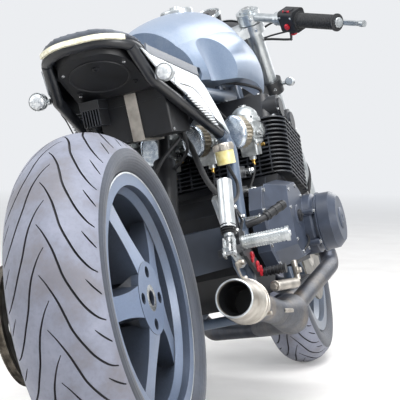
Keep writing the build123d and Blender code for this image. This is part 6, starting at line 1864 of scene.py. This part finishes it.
def pale_floor():
    """A dusty pale floor that takes a shadow and fades into the backdrop a few metres away."""
    made, tree, place = new_material("pale_studio_floor")
    dust = add_node(tree, "ShaderNodeTexNoise", {"Vector": place, "Scale": 6.0, "Detail": 5.0})
    tone = add_node(tree, "ShaderNodeValToRGB", {0: dust}, stops=[(0.3, "#dcd9d6"), (0.7, "#e8e6e3")])
    seen = add_node(tree, "ShaderNodeLightPath", output="Is Camera Ray")
    ground = add_node(tree, "ShaderNodeBsdfPrincipled", {
        "Base Color": tone,
        "Roughness": 0.9,
        "Emission Color": "#e9eaec",
        "Emission Strength": add_node(
            tree, "ShaderNodeMath", {0: seen, 1: FLOOR_GLOW}, operation="MULTIPLY"
        ),
    })
    away = add_node(tree, "ShaderNodeVectorMath", {0: place}, "Value", operation="LENGTH")
    haze = add_node(tree, "ShaderNodeEmission", {"Color": BACKDROP, "Strength": 1.0})
    faded = add_node(tree, "ShaderNodeMapRange", {0: away, 1: FADE_START, 2: FADE_END})
    share = add_node(tree, "ShaderNodeMath", {0: seen, 1: faded}, operation="MULTIPLY")
    mixed = add_node(tree, "ShaderNodeMixShader", {0: share, 1: ground, 2: haze})
    add_node(tree, "ShaderNodeOutputMaterial", {"Surface": mixed})
    return made


floor_mesh = bpy.data.meshes.new("floor")
half = FLOOR_SIDE / 2
floor_corners = [(-half, -half, 0), (half, -half, 0), (half, half, 0), (-half, half, 0)]
floor_mesh.from_pydata(floor_corners, [], [(0, 1, 2, 3)])
floor = bpy.data.objects.new("floor", floor_mesh)
floor_mesh.materials.append(pale_floor())
bpy.context.scene.collection.objects.link(floor)
print("floor side", FLOOR_SIDE, "m")

# %% [markdown]
# ## Light
# The light is soft and mostly from above. A large lamp up there does most of the work, one at each
# side fills the shadows and a weak one ahead draws the edges of the bars. The world adds a little
# light of its own, and what the camera, a mirror or a glass sees of it is the plain backdrop.

# %% Lamps
# name: place and size in metres, power in watts. Each lamp looks at the machine's middle
LAMPS = {
    "sky_lamp": ((-1.5, -1.0, 5.0), 3.6, 360),
    "left_lamp": ((-2.5, 4.5, 2.5), 3.0, 120),
    "right_lamp": ((-3.0, -4.5, 2.2), 2.4, 190),
    "front_lamp": ((5.0, -1.5, 2.8), 3.0, 70),
}
LAMP_AIM = Vector((0, 0, 0.5))
for name, (place, size, power) in LAMPS.items():
    lamp_data = bpy.data.lights.new(name, "AREA")
    lamp_data.size = size
    lamp_data.energy = power
    lamp = bpy.data.objects.new(name, lamp_data)
    lamp.location = place
    lamp.rotation_euler = (LAMP_AIM - Vector(place)).to_track_quat("-Z", "Y").to_euler()
    bpy.context.scene.collection.objects.link(lamp)
print("lamps", len(LAMPS), "with", sum(row[2] for row in LAMPS.values()), "watts")

# %% World
SKY_STRENGTH = 0.2
world = bpy.data.worlds.new("pale_world")
bpy.context.scene.world = world
world.use_nodes = True
world.node_tree.nodes.clear()
tree = world.node_tree
sky_light = add_node(tree, "ShaderNodeBackground", {"Color": "#dbe4ef", "Strength": SKY_STRENGTH})
backdrop = add_node(tree, "ShaderNodeBackground", {"Color": BACKDROP, "Strength": 1.0})
seen = add_node(tree, "ShaderNodeLightPath", output="Is Camera Ray")
for kind in ("Is Transmission Ray", "Is Glossy Ray"):
    rays = add_node(tree, "ShaderNodeLightPath", output=kind)
    seen = add_node(tree, "ShaderNodeMath", {0: seen, 1: rays}, operation="ADD")
seen = add_node(tree, "ShaderNodeMath", {0: seen, 1: 1.0}, operation="MINIMUM")
either = add_node(tree, "ShaderNodeMixShader", {0: seen, 1: sky_light, 2: backdrop})
add_node(tree, "ShaderNodeOutputWorld", {"Surface": either})
bpy.context.scene.view_settings.view_transform = "Standard"
print("sky strength", SKY_STRENGTH, "backdrop", BACKDROP)
